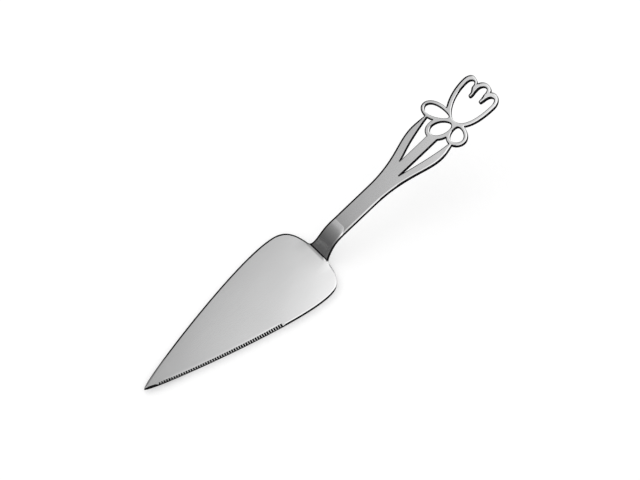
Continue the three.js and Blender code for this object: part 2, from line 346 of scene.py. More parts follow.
def cross_rows(loop: Points, rows: Points) -> Points:
    """Adds the points where a loop crosses given lines of constant first coordinate.

    Args:
        loop: Closed loop.
        rows: The lines' first coordinates.

    Returns:
        The loop with the new points in it.
    """
    made = []
    for here, there in zip(loop, np.roll(loop, -1, axis=0)):
        made.append(here)
        reach = there[0] - here[0]
        if abs(reach) > TOUCHING:
            shares = (rows - here[0]) / reach
            shares = np.sort(shares[(shares > ROW_CLEAR) & (shares < 1 - ROW_CLEAR)])
            made.extend(here + s * (there - here) for s in shares)
    return np.array(made)


class Bench:
    """Lays out the nodes of one material."""

    NOISE_ROUGHNESS = 0.55
    NOISE_SPAN = (0.25, 0.75)  # the values that most of a noise pattern lies between

    def __init__(self, name: str) -> None:
        """Starts a material that has only its output.

        Args:
            name: The material's name.
        """
        self.material = bpy.data.materials.new(name)
        self.material.use_nodes = True
        self.tree = self.material.node_tree
        self.tree.nodes.clear()
        self.out = self.add("ShaderNodeOutputMaterial")

    def add(
        self, kind: str, values: dict[str | int, object] | None = None, **settings: object
    ) -> bpy.types.Node:
        """Adds a node.

        Args:
            kind: Blender's name of the node type.
            values: Constants for its sockets, by name or number.
            settings: Properties of the node itself.

        Returns:
            The node.
        """
        node = self.tree.nodes.new(kind)
        for key, value in settings.items():
            setattr(node, key, value)
        for key, value in (values or {}).items():
            node.inputs[key].default_value = value
        return node

    def link(self, source: bpy.types.NodeSocket, target: bpy.types.NodeSocket) -> None:
        """Joins two sockets."""
        self.tree.links.new(source, target)

    def noise(self, stretch: Triple, detail: float) -> bpy.types.NodeSocket:
        """Adds a noise pattern in the object's own coordinates.

        Args:
            stretch: Size of the pattern's patches along X, Y and Z, in millimetres.
            detail: How many finer layers it has.

        Returns:
            The pattern's value, about 0.5 on average.
        """
        place = self.add("ShaderNodeTexCoord")
        scale = self.add("ShaderNodeMapping", {"Scale": [1 / (MM * s) for s in stretch]})
        layers = {"Scale": 1.0, "Detail": detail, "Roughness": self.NOISE_ROUGHNESS}
        grain = self.add("ShaderNodeTexNoise", layers)
        self.link(place.outputs["Object"], scale.inputs["Vector"])
        self.link(scale.outputs["Vector"], grain.inputs["Vector"])
        return grain.outputs["Fac"]

    def spread(self, value: bpy.types.NodeSocket, low: float, high: float) -> bpy.types.NodeSocket:
        """Spreads a pattern's value between two numbers.

        Args:
            value: The pattern.
            low: The number where it is low.
            high: The number where it is high.

        Returns:
            The spread value.
        """
        start, end = self.NOISE_SPAN
        limits = {"From Min": start, "From Max": end, "To Min": low, "To Max": high}
        node = self.add("ShaderNodeMapRange", limits)
        self.link(value, node.inputs["Value"])
        return node.outputs["Result"]

    def blend(self, value: bpy.types.NodeSocket, low: Triple, high: Triple) -> bpy.types.NodeSocket:
        """Runs a colour from one shade to another with a pattern's value.

        Args:
            value: The pattern.
            low: The shade where it is low.
            high: The shade where it is high.

        Returns:
            The colour.
        """
        node = self.add("ShaderNodeValToRGB")
        for stop, position, shade in zip(node.color_ramp.elements, self.NOISE_SPAN, (low, high)):
            stop.position = position
            stop.color = (*shade, 1)
        self.link(value, node.inputs["Fac"])
        return node.outputs["Color"]


@dataclass(frozen=True)
class SteelFinish:
    """A steel surface: its shade, its gloss, and the marks that were left on it."""

    GRAIN_DETAIL: ClassVar[float] = 3.0
    CLOUD_DETAIL: ClassVar[float] = 4.0
    EVEN: ClassVar[float] = 0.5  # grain and clouds count the same in the shade

    name: str
    dark: Triple
    light: Triple
    rough: Pair
    grain: Triple
    cloud: Triple
    bump_strength: float
    bump_height: float
    glance: float = 1.0

    def material(self) -> bpy.types.Material:
        """The finish as a procedural material: grain and clouds in its shade, clouds in its gloss.

        Returns:
            The new material.
        """
        bench = Bench(self.name)
        tint = (self.glance, self.glance, self.glance, 1)
        steel = bench.add("ShaderNodeBsdfPrincipled", {"Metallic": 1.0, "Specular Tint": tint})
        grain = bench.noise(self.grain, self.GRAIN_DETAIL)
        cloud = bench.noise(self.cloud, self.CLOUD_DETAIL)
        both = bench.add("ShaderNodeMath", {1: self.EVEN}, operation="MULTIPLY_ADD")
        half = bench.add("ShaderNodeMath", {1: self.EVEN}, operation="MULTIPLY")
        bench.link(cloud, half.inputs[0])
        bench.link(grain, both.inputs[0])
        bench.link(half.outputs[0], both.inputs[2])
        bench.link(bench.blend(both.outputs[0], self.dark, self.light), steel.inputs["Base Color"])
        bench.link(bench.spread(cloud, *self.rough), steel.inputs["Roughness"])
        scratches = {"Strength": self.bump_strength, "Distance": self.bump_height * MM}
        bump = bench.add("ShaderNodeBump", scratches)
        bench.link(grain, bump.inputs["Height"])
        bench.link(bump.outputs["Normal"], steel.inputs["Normal"])
        bench.link(steel.outputs["BSDF"], bench.out.inputs["Surface"])
        return bench.material


BLADE_SATIN = SteelFinish(
    "blade_satin", dark=(0.62, 0.62, 0.622), light=(0.68, 0.68, 0.682), rough=(0.18, 0.24),
    grain=(14, 0.16, 0.16), cloud=(26, 15, 15), bump_strength=0.1, bump_height=0.02,
)
HANDLE_SATIN = SteelFinish(
    "handle_satin", dark=(0.52, 0.52, 0.522), light=(0.58, 0.58, 0.582), rough=(0.18, 0.24),
    grain=(12, 0.16, 0.16), cloud=(18, 9, 9), bump_strength=0.1, bump_height=0.02,
)
# The rolled edges' bright facets, the ones not painted dark as shade
UNSHADED_ARRIS = SteelFinish(
    "unshaded_arris", dark=(0.58, 0.58, 0.582), light=(0.64, 0.64, 0.642), rough=(0.16, 0.22),
    grain=(3, 0.3, 0.3), cloud=(8, 8, 8), bump_strength=0.05, bump_height=0.01,
)
# Sheared edges: a duller cut edge, painted near-black with a low glance for the shade that their walls and
# steep rolled edges show
SHEARED_EDGE_PAINTED_SHADE = SteelFinish(
    "sheared_edge_painted_shade", dark=(0.006, 0.006, 0.007), light=(0.022, 0.022, 0.023), rough=(0.4, 0.55),
    grain=(0.12, 0.12, 1.4), cloud=(3, 3, 3), bump_strength=0.3, bump_height=0.03, glance=0.25,
)
FUSED_STEEL = SteelFinish(
    "fused_steel", dark=(0.16, 0.15, 0.15), light=(0.34, 0.31, 0.28), rough=(0.45, 0.65),
    grain=(0.5, 0.5, 0.5), cloud=(2, 2, 2), bump_strength=0.3, bump_height=0.03,
)


def set_in_place(mesh: bpy.types.Mesh, node: str) -> bpy.types.Object:
    """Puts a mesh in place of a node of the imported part.

    Args:
        mesh: The piece's mesh, in metres, with the piece's name.
        node: The node it stands for.

    Returns:
        The piece.
    """
    piece = bpy.data.objects.new(mesh.name, mesh)
    bpy.context.scene.collection.objects.link(piece)
    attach(piece, BODY)
    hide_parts(node)
    return piece


class MeshStock:
    """Gathers the points, normals and faces of one mesh."""

    def __init__(self) -> None:
        """Starts with nothing."""
        self.spots: list[Points] = []
        self.normals: list[Points] = []
        self.faces: list[tuple[int, ...]] = []
        self.marks: list[Surface] = []
        self.count = 0

    def add(self, spots: Points, normals: Points) -> range:
        """Adds points.

        Args:
            spots: Their places, in millimetres.
            normals: The directions that the surface faces there.

        Returns:
            Their numbers in the mesh.
        """
        self.spots.append(spots)
        self.normals.append(normals)
        self.count += len(spots)
        return range(self.count - len(spots), self.count)

    def face(self, corners: tuple[int, ...], mark: Surface) -> None:
        """Adds a face."""
        self.faces.append(corners)
        self.marks.append(mark)

    def bake(self, name: str, finishes: list[SteelFinish]) -> bpy.types.Mesh:
        """Writes everything into a mesh, in metres.

        Args:
            name: The mesh's name.
            finishes: The finishes in the order of Surface.

        Returns:
            The mesh.
        """
        mesh = bpy.data.meshes.new(name)
        mesh.from_pydata((np.concatenate(self.spots) + (BEND_LINE, 0, 0)) * MM, [], self.faces)
        for finish in finishes:
            mesh.materials.append(finish.material())
        mesh.polygons.foreach_set("material_index", np.array(self.marks, np.int32))
        mesh.polygons.foreach_set("use_smooth", np.ones(len(self.faces), bool))
        mesh.normals_split_custom_set_from_vertices(np.concatenate(self.normals).tolist())
        mesh.update()
        return mesh


@dataclass(frozen=True)
class EdgeRing:
    """One ring of points round an edge: its inset, its drop from the face it belongs to, and its tilt."""

    inset: float
    drop: float
    tilt: float
    upper: bool


class Sheet(ABC):
    """A stamped sheet with rounded edges, meshed from its edge loops in the flat."""

    EDGE_INSETS = np.array([1.2, 1.08, 0.94, 0.76, 0.58, 0.42, 0.28, 0.16, 0.07, 0])
    EDGE_TILTS = np.radians([0, 5, 10, 13, 14, 15, 18, 26, 45, 90])
    EDGE_DROPS = np.concatenate([
        [0], np.cumsum(-np.diff(EDGE_INSETS) * np.tan((EDGE_TILTS[1:] + EDGE_TILTS[:-1]) / 2))
    ])
    BURR_TURNS = np.radians([90, 50, 0])
    BALL_SHARE = 0.8  # how much of the largest ball that fits in the metal an edge may take
    ROLL_GROWTH = 0.6  # how fast the rolled edge may widen along a loop
    ROLL_PASSES = 2
    PIERCED_SHARE = 0.5  # the rolled edge round an opening, against the one outside
    LIT_SIDE_TURN = math.radians(-40)  # the way, in plan, towards the bright light; edges that face it stay bright instead of being painted dark
    LIT_SIDE_WAY = np.array([math.cos(LIT_SIDE_TURN), math.sin(LIT_SIDE_TURN)])
    LIT_SIDE_POWER = 24
    LIP_WAY = np.array([0.6652, 0.7466])  # an opening's edge is bright all over where it faces this way
    LIP_SPAN = (0.5, 0.7)
    SHADED_WAY = np.array([-0.7466, 0.6652])  # and it is painted dark as shade where it faces this way
    SHADED_SPAN = (0.5, 0.8)
    WALL_FULL = 0.6  # how squarely it faces the viewer where the bright part is narrowest
    CROWD = 0.3  # how near to an edge a loose point may come
    PROBE = 0.03  # the step that slopes are measured with

    name: str
    thickness: float
    burr: float
    unshaded_tilt: float
    shaded_side_tilt: float
    shaded_side_way: Pair
    shaded_side_span: Pair
    shaded_side_power: float
    pierced_tilts: Triple
    lit_side_reach: float

    @abstractmethod
    def loops(self) -> list[Points]:
        """The sheet's edge loops in the flat, with metal on their left, the outer one first."""

    @abstractmethod
    def lattice(self) -> Points:
        """Loose points in the flat that carry the shape of the faces."""

    @abstractmethod
    def top(self, flat: Points) -> Points:
        """Places on the upper face, in millimetres, for points in the flat."""

    @abstractmethod
    def finishes(self) -> list[SteelFinish]:
        """The finishes in the order of Surface."""

    def gauge(self, flat: Points) -> Points:
        """The sheet's thickness at points in the flat."""
        return np.full(len(flat), self.thickness)

    def roll_limit(self, spot: Points, pierced: bool) -> float:
        """The widest that the rolled edge may be at a point of a loop: less round an opening."""
        return self.EDGE_INSETS[0] * (self.PIERCED_SHARE if pierced else 1)

    def lean(self, loop: Points, depth: Points) -> Points:
        """How far the wall below each point of a loop is set back at a depth; plain walls stand upright."""
        return np.zeros((len(loop), 3))

    def near_tilt(self, loop: Points, outward: Points) -> Points:
        """The steepest tilt that stays bright on edges towards the serrated side; steeper facets are painted
        dark as shade.
        """
        return np.full(len(loop), self.unshaded_tilt)

    def lip_share(self, loop: Points) -> Points:
        """Where the lip of an opening stays bright instead of being painted dark: everywhere, unless a piece
        says otherwise.
        """
        return np.ones(len(loop))

    def tangents(self, surface: Callable[[Points], Points], flat: Points) -> tuple[Points, Points]:
        """Steps along and across a surface.

        Args:
            surface: Gives the places on it for points in the flat.
            flat: The points in the flat.

        Returns:
            The steps along and the steps across.
        """
        step_u, step_v = np.array([self.PROBE, 0]), np.array([0, self.PROBE])
        along = surface(flat + step_u) - surface(flat - step_u)
        return along, surface(flat + step_v) - surface(flat - step_v)

    def upright(self, flat: Points) -> tuple[Points, Points, Points]:
        """Directions along, across and out of the upper face at points in the flat."""
        along, across = map(unit, self.tangents(self.top, flat))
        return along, across, unit(np.cross(along, across))

    def downright(self, flat: Points) -> Points:
        """Directions out of the lower face at points in the flat."""
        along, across = self.tangents(self.bottom, flat)
        return unit(np.cross(across, along))

    def through(self, flat: Points) -> Points:
        """Directions, up through the sheet, that its thickness is measured in."""
        return self.upright(flat)[2]

    def bottom(self, flat: Points) -> Points:
        """Places on the lower face for points in the flat."""
        return self.top(flat) - self.gauge(flat)[:, None] * self.through(flat)

    def shade_limit(self, loop: Points, outward: Points, pierced: bool) -> Points:
        """How steep the rolled edge may be and still stay bright, by the way it faces in plan; steeper facets
        are painted dark as shade.

        Args:
            loop: Points of an edge loop.
            outward: Directions out of the metal, in plan.
            pierced: Whether the edge runs round an opening.

        Returns:
            The steepest bright tilt at each point.
        """
        if pierced:
            away = outward @ self.LIP_WAY
            wall, drawn, reach = self.pierced_tilts
            wall = wall - reach * ramp(-away, 0, self.WALL_FULL)
            shade_share = ramp(outward @ self.SHADED_WAY, *self.SHADED_SPAN)
            lip = ramp(away, *self.LIP_SPAN) * self.lip_share(loop)
            return between(wall, drawn, shade_share) + math.pi / 2 * lip
        shaded_side = ramp(outward @ np.array(self.shaded_side_way), *self.shaded_side_span) ** self.shaded_side_power
        near = self.near_tilt(loop, outward)
        lit_side = np.clip(outward @ self.LIT_SIDE_WAY, 0, 1) ** self.LIT_SIDE_POWER
        return between(near, self.shaded_side_tilt, shaded_side) + self.lit_side_reach * lit_side

    def edge_room(self, loop: Points, metal: Points, pierced: bool) -> tuple[Points, Points]:
        """How far the rolled edge may reach inwards at each point of a loop.

        Args:
            loop: Edge loop with metal on its left.
            metal: The points of all the sheet's edge loops.
            pierced: Whether the loop runs round an opening.

        Returns:
            The outward direction and the width of the rolled edge at each point.
        """
        before, after = loop - np.roll(loop, 1, axis=0), np.roll(loop, -1, axis=0) - loop
        len_in, len_out = np.linalg.norm(before, axis=1), np.linalg.norm(after, axis=1)
        way = unit(unit(before) + unit(after))
        outward = np.stack([way[:, 1], -way[:, 0]], 1)
        room = np.full(len(loop), self.EDGE_INSETS[0])
        for i, (spot, out) in enumerate(zip(loop, outward)):
            reach = metal - spot
            inward = -(reach @ out)
            facing = inward > TOUCHING
            ball = (reach[facing] ** 2).sum(1) / (2 * inward[facing])
            fits = self.BALL_SHARE * ball.min(initial=np.inf)
            room[i] = min(room[i], self.roll_limit(spot, pierced), fits)
        for _ in range(self.ROLL_PASSES):
            for i in range(len(loop)):
                room[i] = min(room[i], room[i - 1] + self.ROLL_GROWTH * len_in[i])
            for i in range(len(loop) - 1, -1, -1):
                room[i] = min(room[i], room[(i + 1) % len(loop)] + self.ROLL_GROWTH * len_out[i])
        return outward, room

    def rings(self) -> list[EdgeRing]:
        """The rings round an edge, from the upper face over the rolled edge and round the burr below.

        Returns:
            The rings in that order.
        """
        upper = zip(self.EDGE_INSETS, self.EDGE_DROPS, self.EDGE_TILTS)
        lower = ((self.burr * (1 - math.sin(t)), self.burr * (1 - math.cos(t)), t) for t in self.BURR_TURNS)
        rings = [EdgeRing(*ring, upper=True) for ring in upper]
        return rings + [EdgeRing(*ring, upper=False) for ring in lower]

    def roll_edge(
        self, stock: MeshStock, loop: Points, outward: Points, room: Points, pierced: bool
    ) -> tuple[range, range]:
        """Makes the rolled edge, the wall and the burr along one loop.

        Args:
            stock: Takes the points and faces.
            loop: Edge loop with metal on its left.
            outward: Directions out of the metal, in plan.
            room: The width of the rolled edge at each point.
            pierced: Whether the loop runs round an opening.

        Returns:
            The numbers of the points where the upper face ends, and of those where the lower one does.
        """
        share = room / self.EDGE_INSETS[0]
        rings = self.rings()
        lines = []
        for ring in rings:
            flat = loop - outward * (share * ring.inset)[:, None]
            along, across, out = self.upright(flat)
            depth = share * ring.drop if ring.upper else self.gauge(flat) - share * ring.drop
            aside = outward[:, :1] * along + outward[:, 1:] * across
            normal = math.sin(ring.tilt) * aside + math.cos(ring.tilt) * (out if ring.upper else -out)
            spots = self.top(flat) - depth[:, None] * self.through(flat) + self.lean(loop, depth)
            lines.append(stock.add(spots, unit(normal)))
        shade_limit = self.shade_limit(loop, outward, pierced)
        for ring, a, b in zip(rings[1:], lines, lines[1:]):
            for i, limit in enumerate(shade_limit):
                j = (i + 1) % len(loop)
                # Walls, burrs and rolled-edge facets steeper than the limit are painted dark as shade
                bright = ring.upper and ring.tilt < limit
                stock.face((a[i], b[i], b[j], a[j]), Surface.ARRIS if bright else Surface.CUT)
        return lines[0], lines[-1]

    def mesh(self) -> bpy.types.Mesh:
        """The closed mesh of the sheet, in metres, with true normals and its three surfaces marked.

        Returns:
            The mesh.
        """
        stock = MeshStock()
        loops = self.loops()
        metal = np.concatenate(loops)
        inner: list[Points] = []
        tops: list[int] = []
        floors: list[int] = []
        for order, loop in enumerate(loops):
            outward, room = self.edge_room(loop, metal, order > 0)
            upper, lower = self.roll_edge(stock, loop, outward, room, order > 0)
            inner.append(loop - outward * room[:, None])
            tops.extend(upper)
            floors.extend(lower)
        loose = self.keep_inside(self.lattice(), inner)
        tops.extend(stock.add(self.top(loose), self.upright(loose)[2]))
        floors.extend(stock.add(self.bottom(loose), self.downright(loose)))
        _, tris, sources = triangulate(inner, len(inner) - 1, loose)
        if any(not s for s in sources):
            raise ValueError(f"{self.name}: its rolled edge crosses itself")
        for tri in tris:
            trio = [sources[i][0] for i in tri]
            stock.face(tuple(tops[i] for i in trio), Surface.FACE)
            stock.face(tuple(floors[i] for i in reversed(trio)), Surface.FACE)
        return stock.bake(self.name, self.finishes())

    def keep_inside(self, loose: Points, inner: list[Points]) -> Points:
        """Drops loose points that lie in no metal or crowd the edge.

        Args:
            loose: Candidate points.
            inner: The loops where the faces end.

        Returns:
            The points that stay.
        """
        inside = np.zeros(len(loose), bool)
        clear = np.ones(len(loose), bool)
        for loop in inner:
            for (ax, ay), (bx, by) in zip(loop, np.roll(loop, -1, axis=0)):
                crosses = (ay > loose[:, 1]) != (by > loose[:, 1])
                if crosses.any():
                    x = ax + (loose[:, 1] - ay) / (by - ay) * (bx - ax)
                    inside ^= crosses & (loose[:, 0] < x)
                clear &= (loose[:, 0] - ax) ** 2 + (loose[:, 1] - ay) ** 2 > self.CROWD**2
        return loose[inside & clear]

    def build(self, node: str, slot: str) -> bpy.types.Object:
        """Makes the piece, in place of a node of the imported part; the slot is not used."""
        return set_in_place(self.mesh(), node)


@dataclass
class Blade(Sheet):
    """The leaf-shaped blade: one long edge serrated, a shallow seat for the neck in its rear edge."""

    SEAT_NEAR: ClassVar[float] = 0.02  # a point this near to the seat's line lies on it
    PUCKER_ROWS: ClassVar[tuple[float, ...]] = (0, 0.33, 0.67, 1, 1.4)  # in lengths of its soft start
    GROUND_ROWS: ClassVar[tuple[float, ...]] = (0.5, 0, -0.5, -1)  # in lengths of its soft start

    name: str = "blade_leaf"
    thickness: float = 1.5
    underside: float = 2.1
    burr: float = 0.1
    # How steep the bright part of its edges is; steeper facets are painted dark as shade
    unshaded_tilt: float = math.radians(14.5)
    tip_zone: float = 25
    tip_tilts: Pair = (math.radians(11), math.radians(30))
    upper_tilt: float = math.radians(17)
    tooth_tilt: float = math.radians(60)
    tip_tooth_tilt: float = math.radians(3)
    tip_tooth_gain: float = 2
    shaded_side_tilt: float = math.radians(3.5)
    shaded_side_way: Pair = (0.5, 0.866)
    shaded_side_span: Pair = (0, 1)
    shaded_side_power: float = 3
    pierced_tilts: Triple = (math.radians(40), math.radians(4), math.radians(23))
    lit_side_reach: float = math.radians(60)
    # Outline
    length: float = 126.4
    width: float = 47.8
    upper_extra: float = 0.25
    shoulder_setback: float = 18.5
    shoulder_run: float = 8
    shoulder_drop: float = 0.8
    side_run: float = 27.5
    tip_run: float = 1.7
    tip_spread: float = 3.4
    # Teeth
    serration_start: float = 9
    serration_length: float = 77
    tooth_pitch: float = 1.47
    notch_mouth: float = 1.05
    notch_root: float = 0.95
    notch_cut: float = 1.1
    notch_growth: float = 0.9
    notch_spread: float = 0.08
    notch_clear: float = 0.05
    run_in_size: float = 0.85
    run_in_count: int = 4
    # Strip ground along the teeth
    ground_margin: float = 1.1
    ground_tilt: float = math.radians(4.5)
    ground_soft: float = 0.5
    ground_from: float = 12
    ground_fade: float = 5
    ground_step: float = 0.7
    # Seat for the neck, with an ear at one corner
    seat_depth: float = 1.75
    seat_start: float = 0.42
    seat_lean: float = 1 / math.tan(NECK_ANGLE)
    seat_half: Pair = (7.0, 8.8)
    seat_over: float = 5
    # past seat_dark_from along the seat, facets steeper than this are painted dark as shade
    seat_tilt: float = math.radians(13.5)
    seat_dark_from: float = -4.6
    ear: tuple[Pair, ...] = ((1.06, -9.9), (1.75, -8.2), (2.1, -7.2), (2.1, -6), (0, -6), (0, -10))
    # Rise of the face towards the seat
    pucker_from: float = -0.6
    pucker_soft: float = 0.9
    pucker_slope: float = 0.25
    pucker_ends: Pair = (6.2, 8.8)
    pucker_fade: float = 1.5
    pucker_step: float = 0.6
    pucker_clear: float = 0.6
    lift_run: float = 13
    lift_height: float = 0.25
    lift_span: Pair = (6, 13)
    # Narrow rolled edges, and the crown of the face
    seat_roll: float = 0.5
    tooth_roll: float = 0.15
    crown: float = 0.3
    # Mesh
    spacing: float = 0.55
    corner_cut: float = 0.1
    lattice_step: float = 2.2

    def __post_init__(self) -> None:
        """Works out where the tip, the widest place, the last tooth and the serrated edge's line lie."""
        self.tip = self.seat_depth - self.length
        self.widest = self.seat_depth - self.shoulder_setback
        self.serration_end = self.serration_start + self.serration_length
        self.serrated_line = self.side(Side.LOWER)

    def half(self, side: Side) -> float:
        """Half of the width, a little more on the upper side."""
        return self.width / 2 + (self.upper_extra if side is Side.UPPER else 0)

    def side(self, side: Side) -> MeasuredCurve:
        """One long side, from the tip to the widest place.

        Args:
            side: Which of the two.

        Returns:
            Its curve, without teeth.
        """
        out = side * self.half(side)
        return MeasuredCurve([
            (self.tip, 0), (self.tip + self.tip_run, side * self.tip_spread),
            (self.widest - self.side_run, out), (self.widest, out),
        ])

    def shoulder(self, side: Side) -> MeasuredCurve:
        """Half of the rear edge, from the widest place to the middle.

        Args:
            side: Which of the two halves.

        Returns:
            Its curve, without the seat.
        """
        rear, half = self.seat_depth, self.half(side)
        return MeasuredCurve([
            (self.widest, side * half), (rear - self.shoulder_run, side * half),
            (rear, side * (half - self.shoulder_drop)), (rear, 0),
        ])

    def serrated_side(self) -> list[Points]:
        """The lower side: a plain point, the teeth, then the plain edge up to the widest place.

        Returns:
            Its points, from the tip.
        """
        curve = self.serrated_line
        count = math.floor(self.serration_length / self.tooth_pitch)
        points = curve.stretch(0, self.serration_start - self.tooth_pitch / 2, Pen.STEP)
        for i in range(count):
            middle = self.serration_start + i * self.tooth_pitch
            size = between(self.run_in_size, 1, min(i / self.run_in_count, 1))
            spread = self.notch_spread * i / count
            mouth = size * (self.notch_mouth + spread) / 2
            base = curve.along(middle) * size * (self.notch_root + spread) / 2
            cut = size * (self.notch_cut + self.notch_growth * i / count)
            root = curve.at(middle) + curve.left(middle) * cut
            points += [curve.at(middle - mouth), root - base, root + base, curve.at(middle + mouth)]
        return points + curve.stretch(self.serration_start + count * self.tooth_pitch, curve.length, Pen.STEP)

    def loops(self) -> list[Points]:
        """The blade's one edge loop.

        Returns:
            A list of it alone.
        """
        lower, upper, far = self.shoulder(Side.LOWER), self.shoulder(Side.UPPER), self.side(Side.UPPER)
        outline = [
            *self.serrated_side(),
            *lower.stretch(0, lower.length, Pen.STEP)[1:],
            *upper.stretch(0, upper.length, Pen.STEP)[-2::-1],
            *far.stretch(0, far.length, Pen.STEP)[-2:0:-1],
        ]
        front, back, (low, high) = self.seat_line(), self.seat_depth + self.seat_over, self.seat_half
        seat = np.array([(front, -low), (back, -low), (back, high), (front, high)])
        plan = cut_plan([np.array(outline), np.array(self.ear)], [seat])
        return [even_out(loop, self.spacing, self.corner_cut) for loop in plan]

    def near_tilt(self, loop: Points, outward: Points) -> Points:
        """The steepest bright tilt: less on the serrated side of the tip, more on its other side.

        Args:
            loop: Points of the edge loop.
            outward: Directions out of the metal, in plan.

        Returns:
            The tilt at each point.
        """
        share = ramp(loop[:, 0], self.tip + self.tip_zone, self.tip)
        lower, upper = self.tip_tilts
        plain = np.where(
            outward[:, 1] < 0,
            between(self.unshaded_tilt, lower, share),
            between(self.upper_tilt, upper, share),
        )
        tooth = between(self.tooth_tilt, self.tip_tooth_tilt, np.minimum(self.tip_tooth_gain * share, 1))
        plain = np.where(self.in_notches(loop), tooth, plain)
        return np.where(self.on_seat(loop) & (loop[:, 1] > self.seat_dark_from), self.seat_tilt, plain)

    def seat_line(self) -> float:
        """Where the seat's upper edge lies along the blade."""
        return self.seat_start + self.seat_lean * self.thickness

    def beside_seat(self, y: Points) -> Points:
        """Distances from places along the seat to its nearer end, negative beyond it."""
        return np.minimum(y + self.seat_half[0], self.seat_half[1] - y)

    def on_seat(self, loop: Points) -> Points:
        """Whether the points of a loop lie along the seat."""
        return (np.abs(loop[:, 0] - self.seat_line()) < self.SEAT_NEAR) & (self.beside_seat(loop[:, 1]) > 0)

    def to_line(self, loop: Points) -> Points:
        """Steps from the points of a loop to the plain line of the serrated edge.

        Args:
            loop: Points of the edge loop.

        Returns:
            One step per point, of no length on other edges.
        """
        steps = np.zeros(loop.shape)
        for i in np.flatnonzero((loop[:, 1] < 0) & (loop[:, 0] < self.widest)):
            gaps = self.serrated_line.track - loop[i]
            steps[i] = gaps[np.argmin((gaps**2).sum(1))]
        return steps

    def in_notches(self, loop: Points) -> Points:
        """Whether the points of a loop lie in notches."""
        return np.linalg.norm(self.to_line(loop), axis=1) > self.notch_clear

    def roll_limit(self, spot: Points, pierced: bool) -> float:
        """The widest that the rolled edge may be: little along the seat and in the notches.

        Args:
            spot: A point of the edge loop.
            pierced: Whether the loop runs round an opening, which the blade has none of; not used.

        Returns:
            The width.
        """
        if self.in_notches(spot[None])[0]:
            return self.tooth_roll
        return self.seat_roll if self.on_seat(spot[None])[0] else self.EDGE_INSETS[0]

    def lean(self, loop: Points, depth: Points) -> Points:
        """Leans the seat's wall back along the neck, and ramps the notches down to the edge.

        Args:
            loop: Points of the edge loop.
            depth: How far below the upper face the wall is looked at.

        Returns:
            The setback at each point.
        """
        lean = np.zeros((len(loop), 3))
        lean[:, 0] = np.where(self.on_seat(loop), -self.seat_lean * depth, 0)
        steps = self.to_line(loop) * (depth / self.thickness)[:, None]
        notched = self.in_notches(loop)
        lean[notched, :2] = steps[notched]
        return lean

    def ground_width(self, arc: float | Points) -> float | Points:
        """How wide the ground strip is at distances along the serrated edge."""
        share = np.clip((arc - self.serration_start) / self.serration_length, 0, 1)
        return self.notch_cut + self.notch_growth * share + self.ground_margin

    def ground(self, flat: Points) -> Points:
        """How far the strip that is ground along the teeth lowers the upper face.

        Args:
            flat: Points in the flat.

        Returns:
            The depth at each point.
        """
        x, (line_x, line_y) = flat[:, 0], self.serrated_line.track.T
        slope = np.interp(x, line_x, np.gradient(line_y, line_x))
        inside = (flat[:, 1] - np.interp(x, line_x, line_y)) / np.hypot(1, slope)
        arc = np.interp(x, line_x, self.serrated_line.run)
        ends = np.minimum(arc - self.ground_from, self.serration_end - arc)
        share = np.clip(ends / self.ground_fade, 0, 1)
        fall = soft_slope(self.ground_width(arc) - inside, self.ground_soft)
        return math.tan(self.ground_tilt) * share * fall

    def top(self, flat: Points) -> Points:
        """The upper face: a slight crown, a pucker along the seat and a strip ground along the teeth.

        Args:
            flat: Points in the flat.

        Returns:
            Their places.
        """
        x, y = flat.T
        sag = self.crown * (y / (self.width / 2)) ** 2
        low, high = self.pucker_ends
        beside = np.clip(np.minimum(y + low, high - y) / self.pucker_fade, 0, 1)
        pucker = self.pucker_slope * soft_slope(x - self.pucker_from, self.pucker_soft) * beside
        near, far = self.lift_span
        lift = self.lift_height * np.clip(1 + (x - self.seat_line()) / self.lift_run, 0, 1) ** 2
        lift *= smooth(ramp(np.abs(y), far, near))
        height = self.underside + self.thickness - sag + pucker + lift - self.ground(flat)
        return np.column_stack([flat, height])

    def pucker_rows(self) -> Points:
        """Points that carry the pucker along the seat."""
        rows = self.pucker_from + self.pucker_soft * np.array(self.PUCKER_ROWS)
        return crossings(rows, np.arange(-self.seat_half[0], self.seat_half[1], self.pucker_step))

    def ground_rows(self) -> Points:
        """Points that carry the start of the ground strip.

        Returns:
            The points, in rows across the strip's border.
        """
        curve, rows = self.serrated_line, []
        for arc in np.arange(self.ground_from, self.serration_end, self.ground_step):
            width = self.ground_width(arc)
            insets = [width + share * self.ground_soft for share in self.GROUND_ROWS]
            rows += [curve.at(arc) + curve.left(arc) * inset for inset in insets]
        return np.array(rows)

    def lattice(self) -> Points:
        """An even lattice over the whole blade, with closer rows along the seat and the ground strip.

        Returns:
            Its points.
        """
        half = self.width / 2
        grid = crossings(
            np.arange(self.tip, self.seat_depth, self.lattice_step), np.arange(-half, half, self.lattice_step)
        )
        ahead = grid[:, 0] <= self.pucker_from - self.pucker_clear
        clear = grid[ahead | (self.beside_seat(grid[:, 1]) < -self.pucker_clear)]
        return np.concatenate([clear, self.pucker_rows(), self.ground_rows()])

    def finishes(self) -> list[SteelFinish]:
        """Satin faces, a bright arris, and sheared edges painted dark as shade."""
        return [BLADE_SATIN, UNSHADED_ARRIS, SHEARED_EDGE_PAINTED_SHADE]


@dataclass(frozen=True)
class Loop:
    """An oval loop: centre, half length, half width, turn of the fuller end, fullness and band of metal."""

    STEPS: ClassVar[int] = 240

    x: float
    y: float
    long: float
    wide: float
    turn: float
    egg: float
    band: float

    def outline(self, margin: float) -> Points:
        """The oval.

        Args:
            margin: How far it is grown outwards.

        Returns:
            Its points.
        """
        turn = math.radians(self.turn)
        along = np.array([math.cos(turn), math.sin(turn)])
        across = np.array([-math.sin(turn), math.cos(turn)])
        angle = np.linspace(0, 2 * math.pi, self.STEPS, endpoint=False)[:, None]
        half = self.wide * (1 + self.egg * np.cos(angle)) + margin
        return (self.x, self.y) + along * (self.long + margin) * np.cos(angle) + across * half * np.sin(angle)


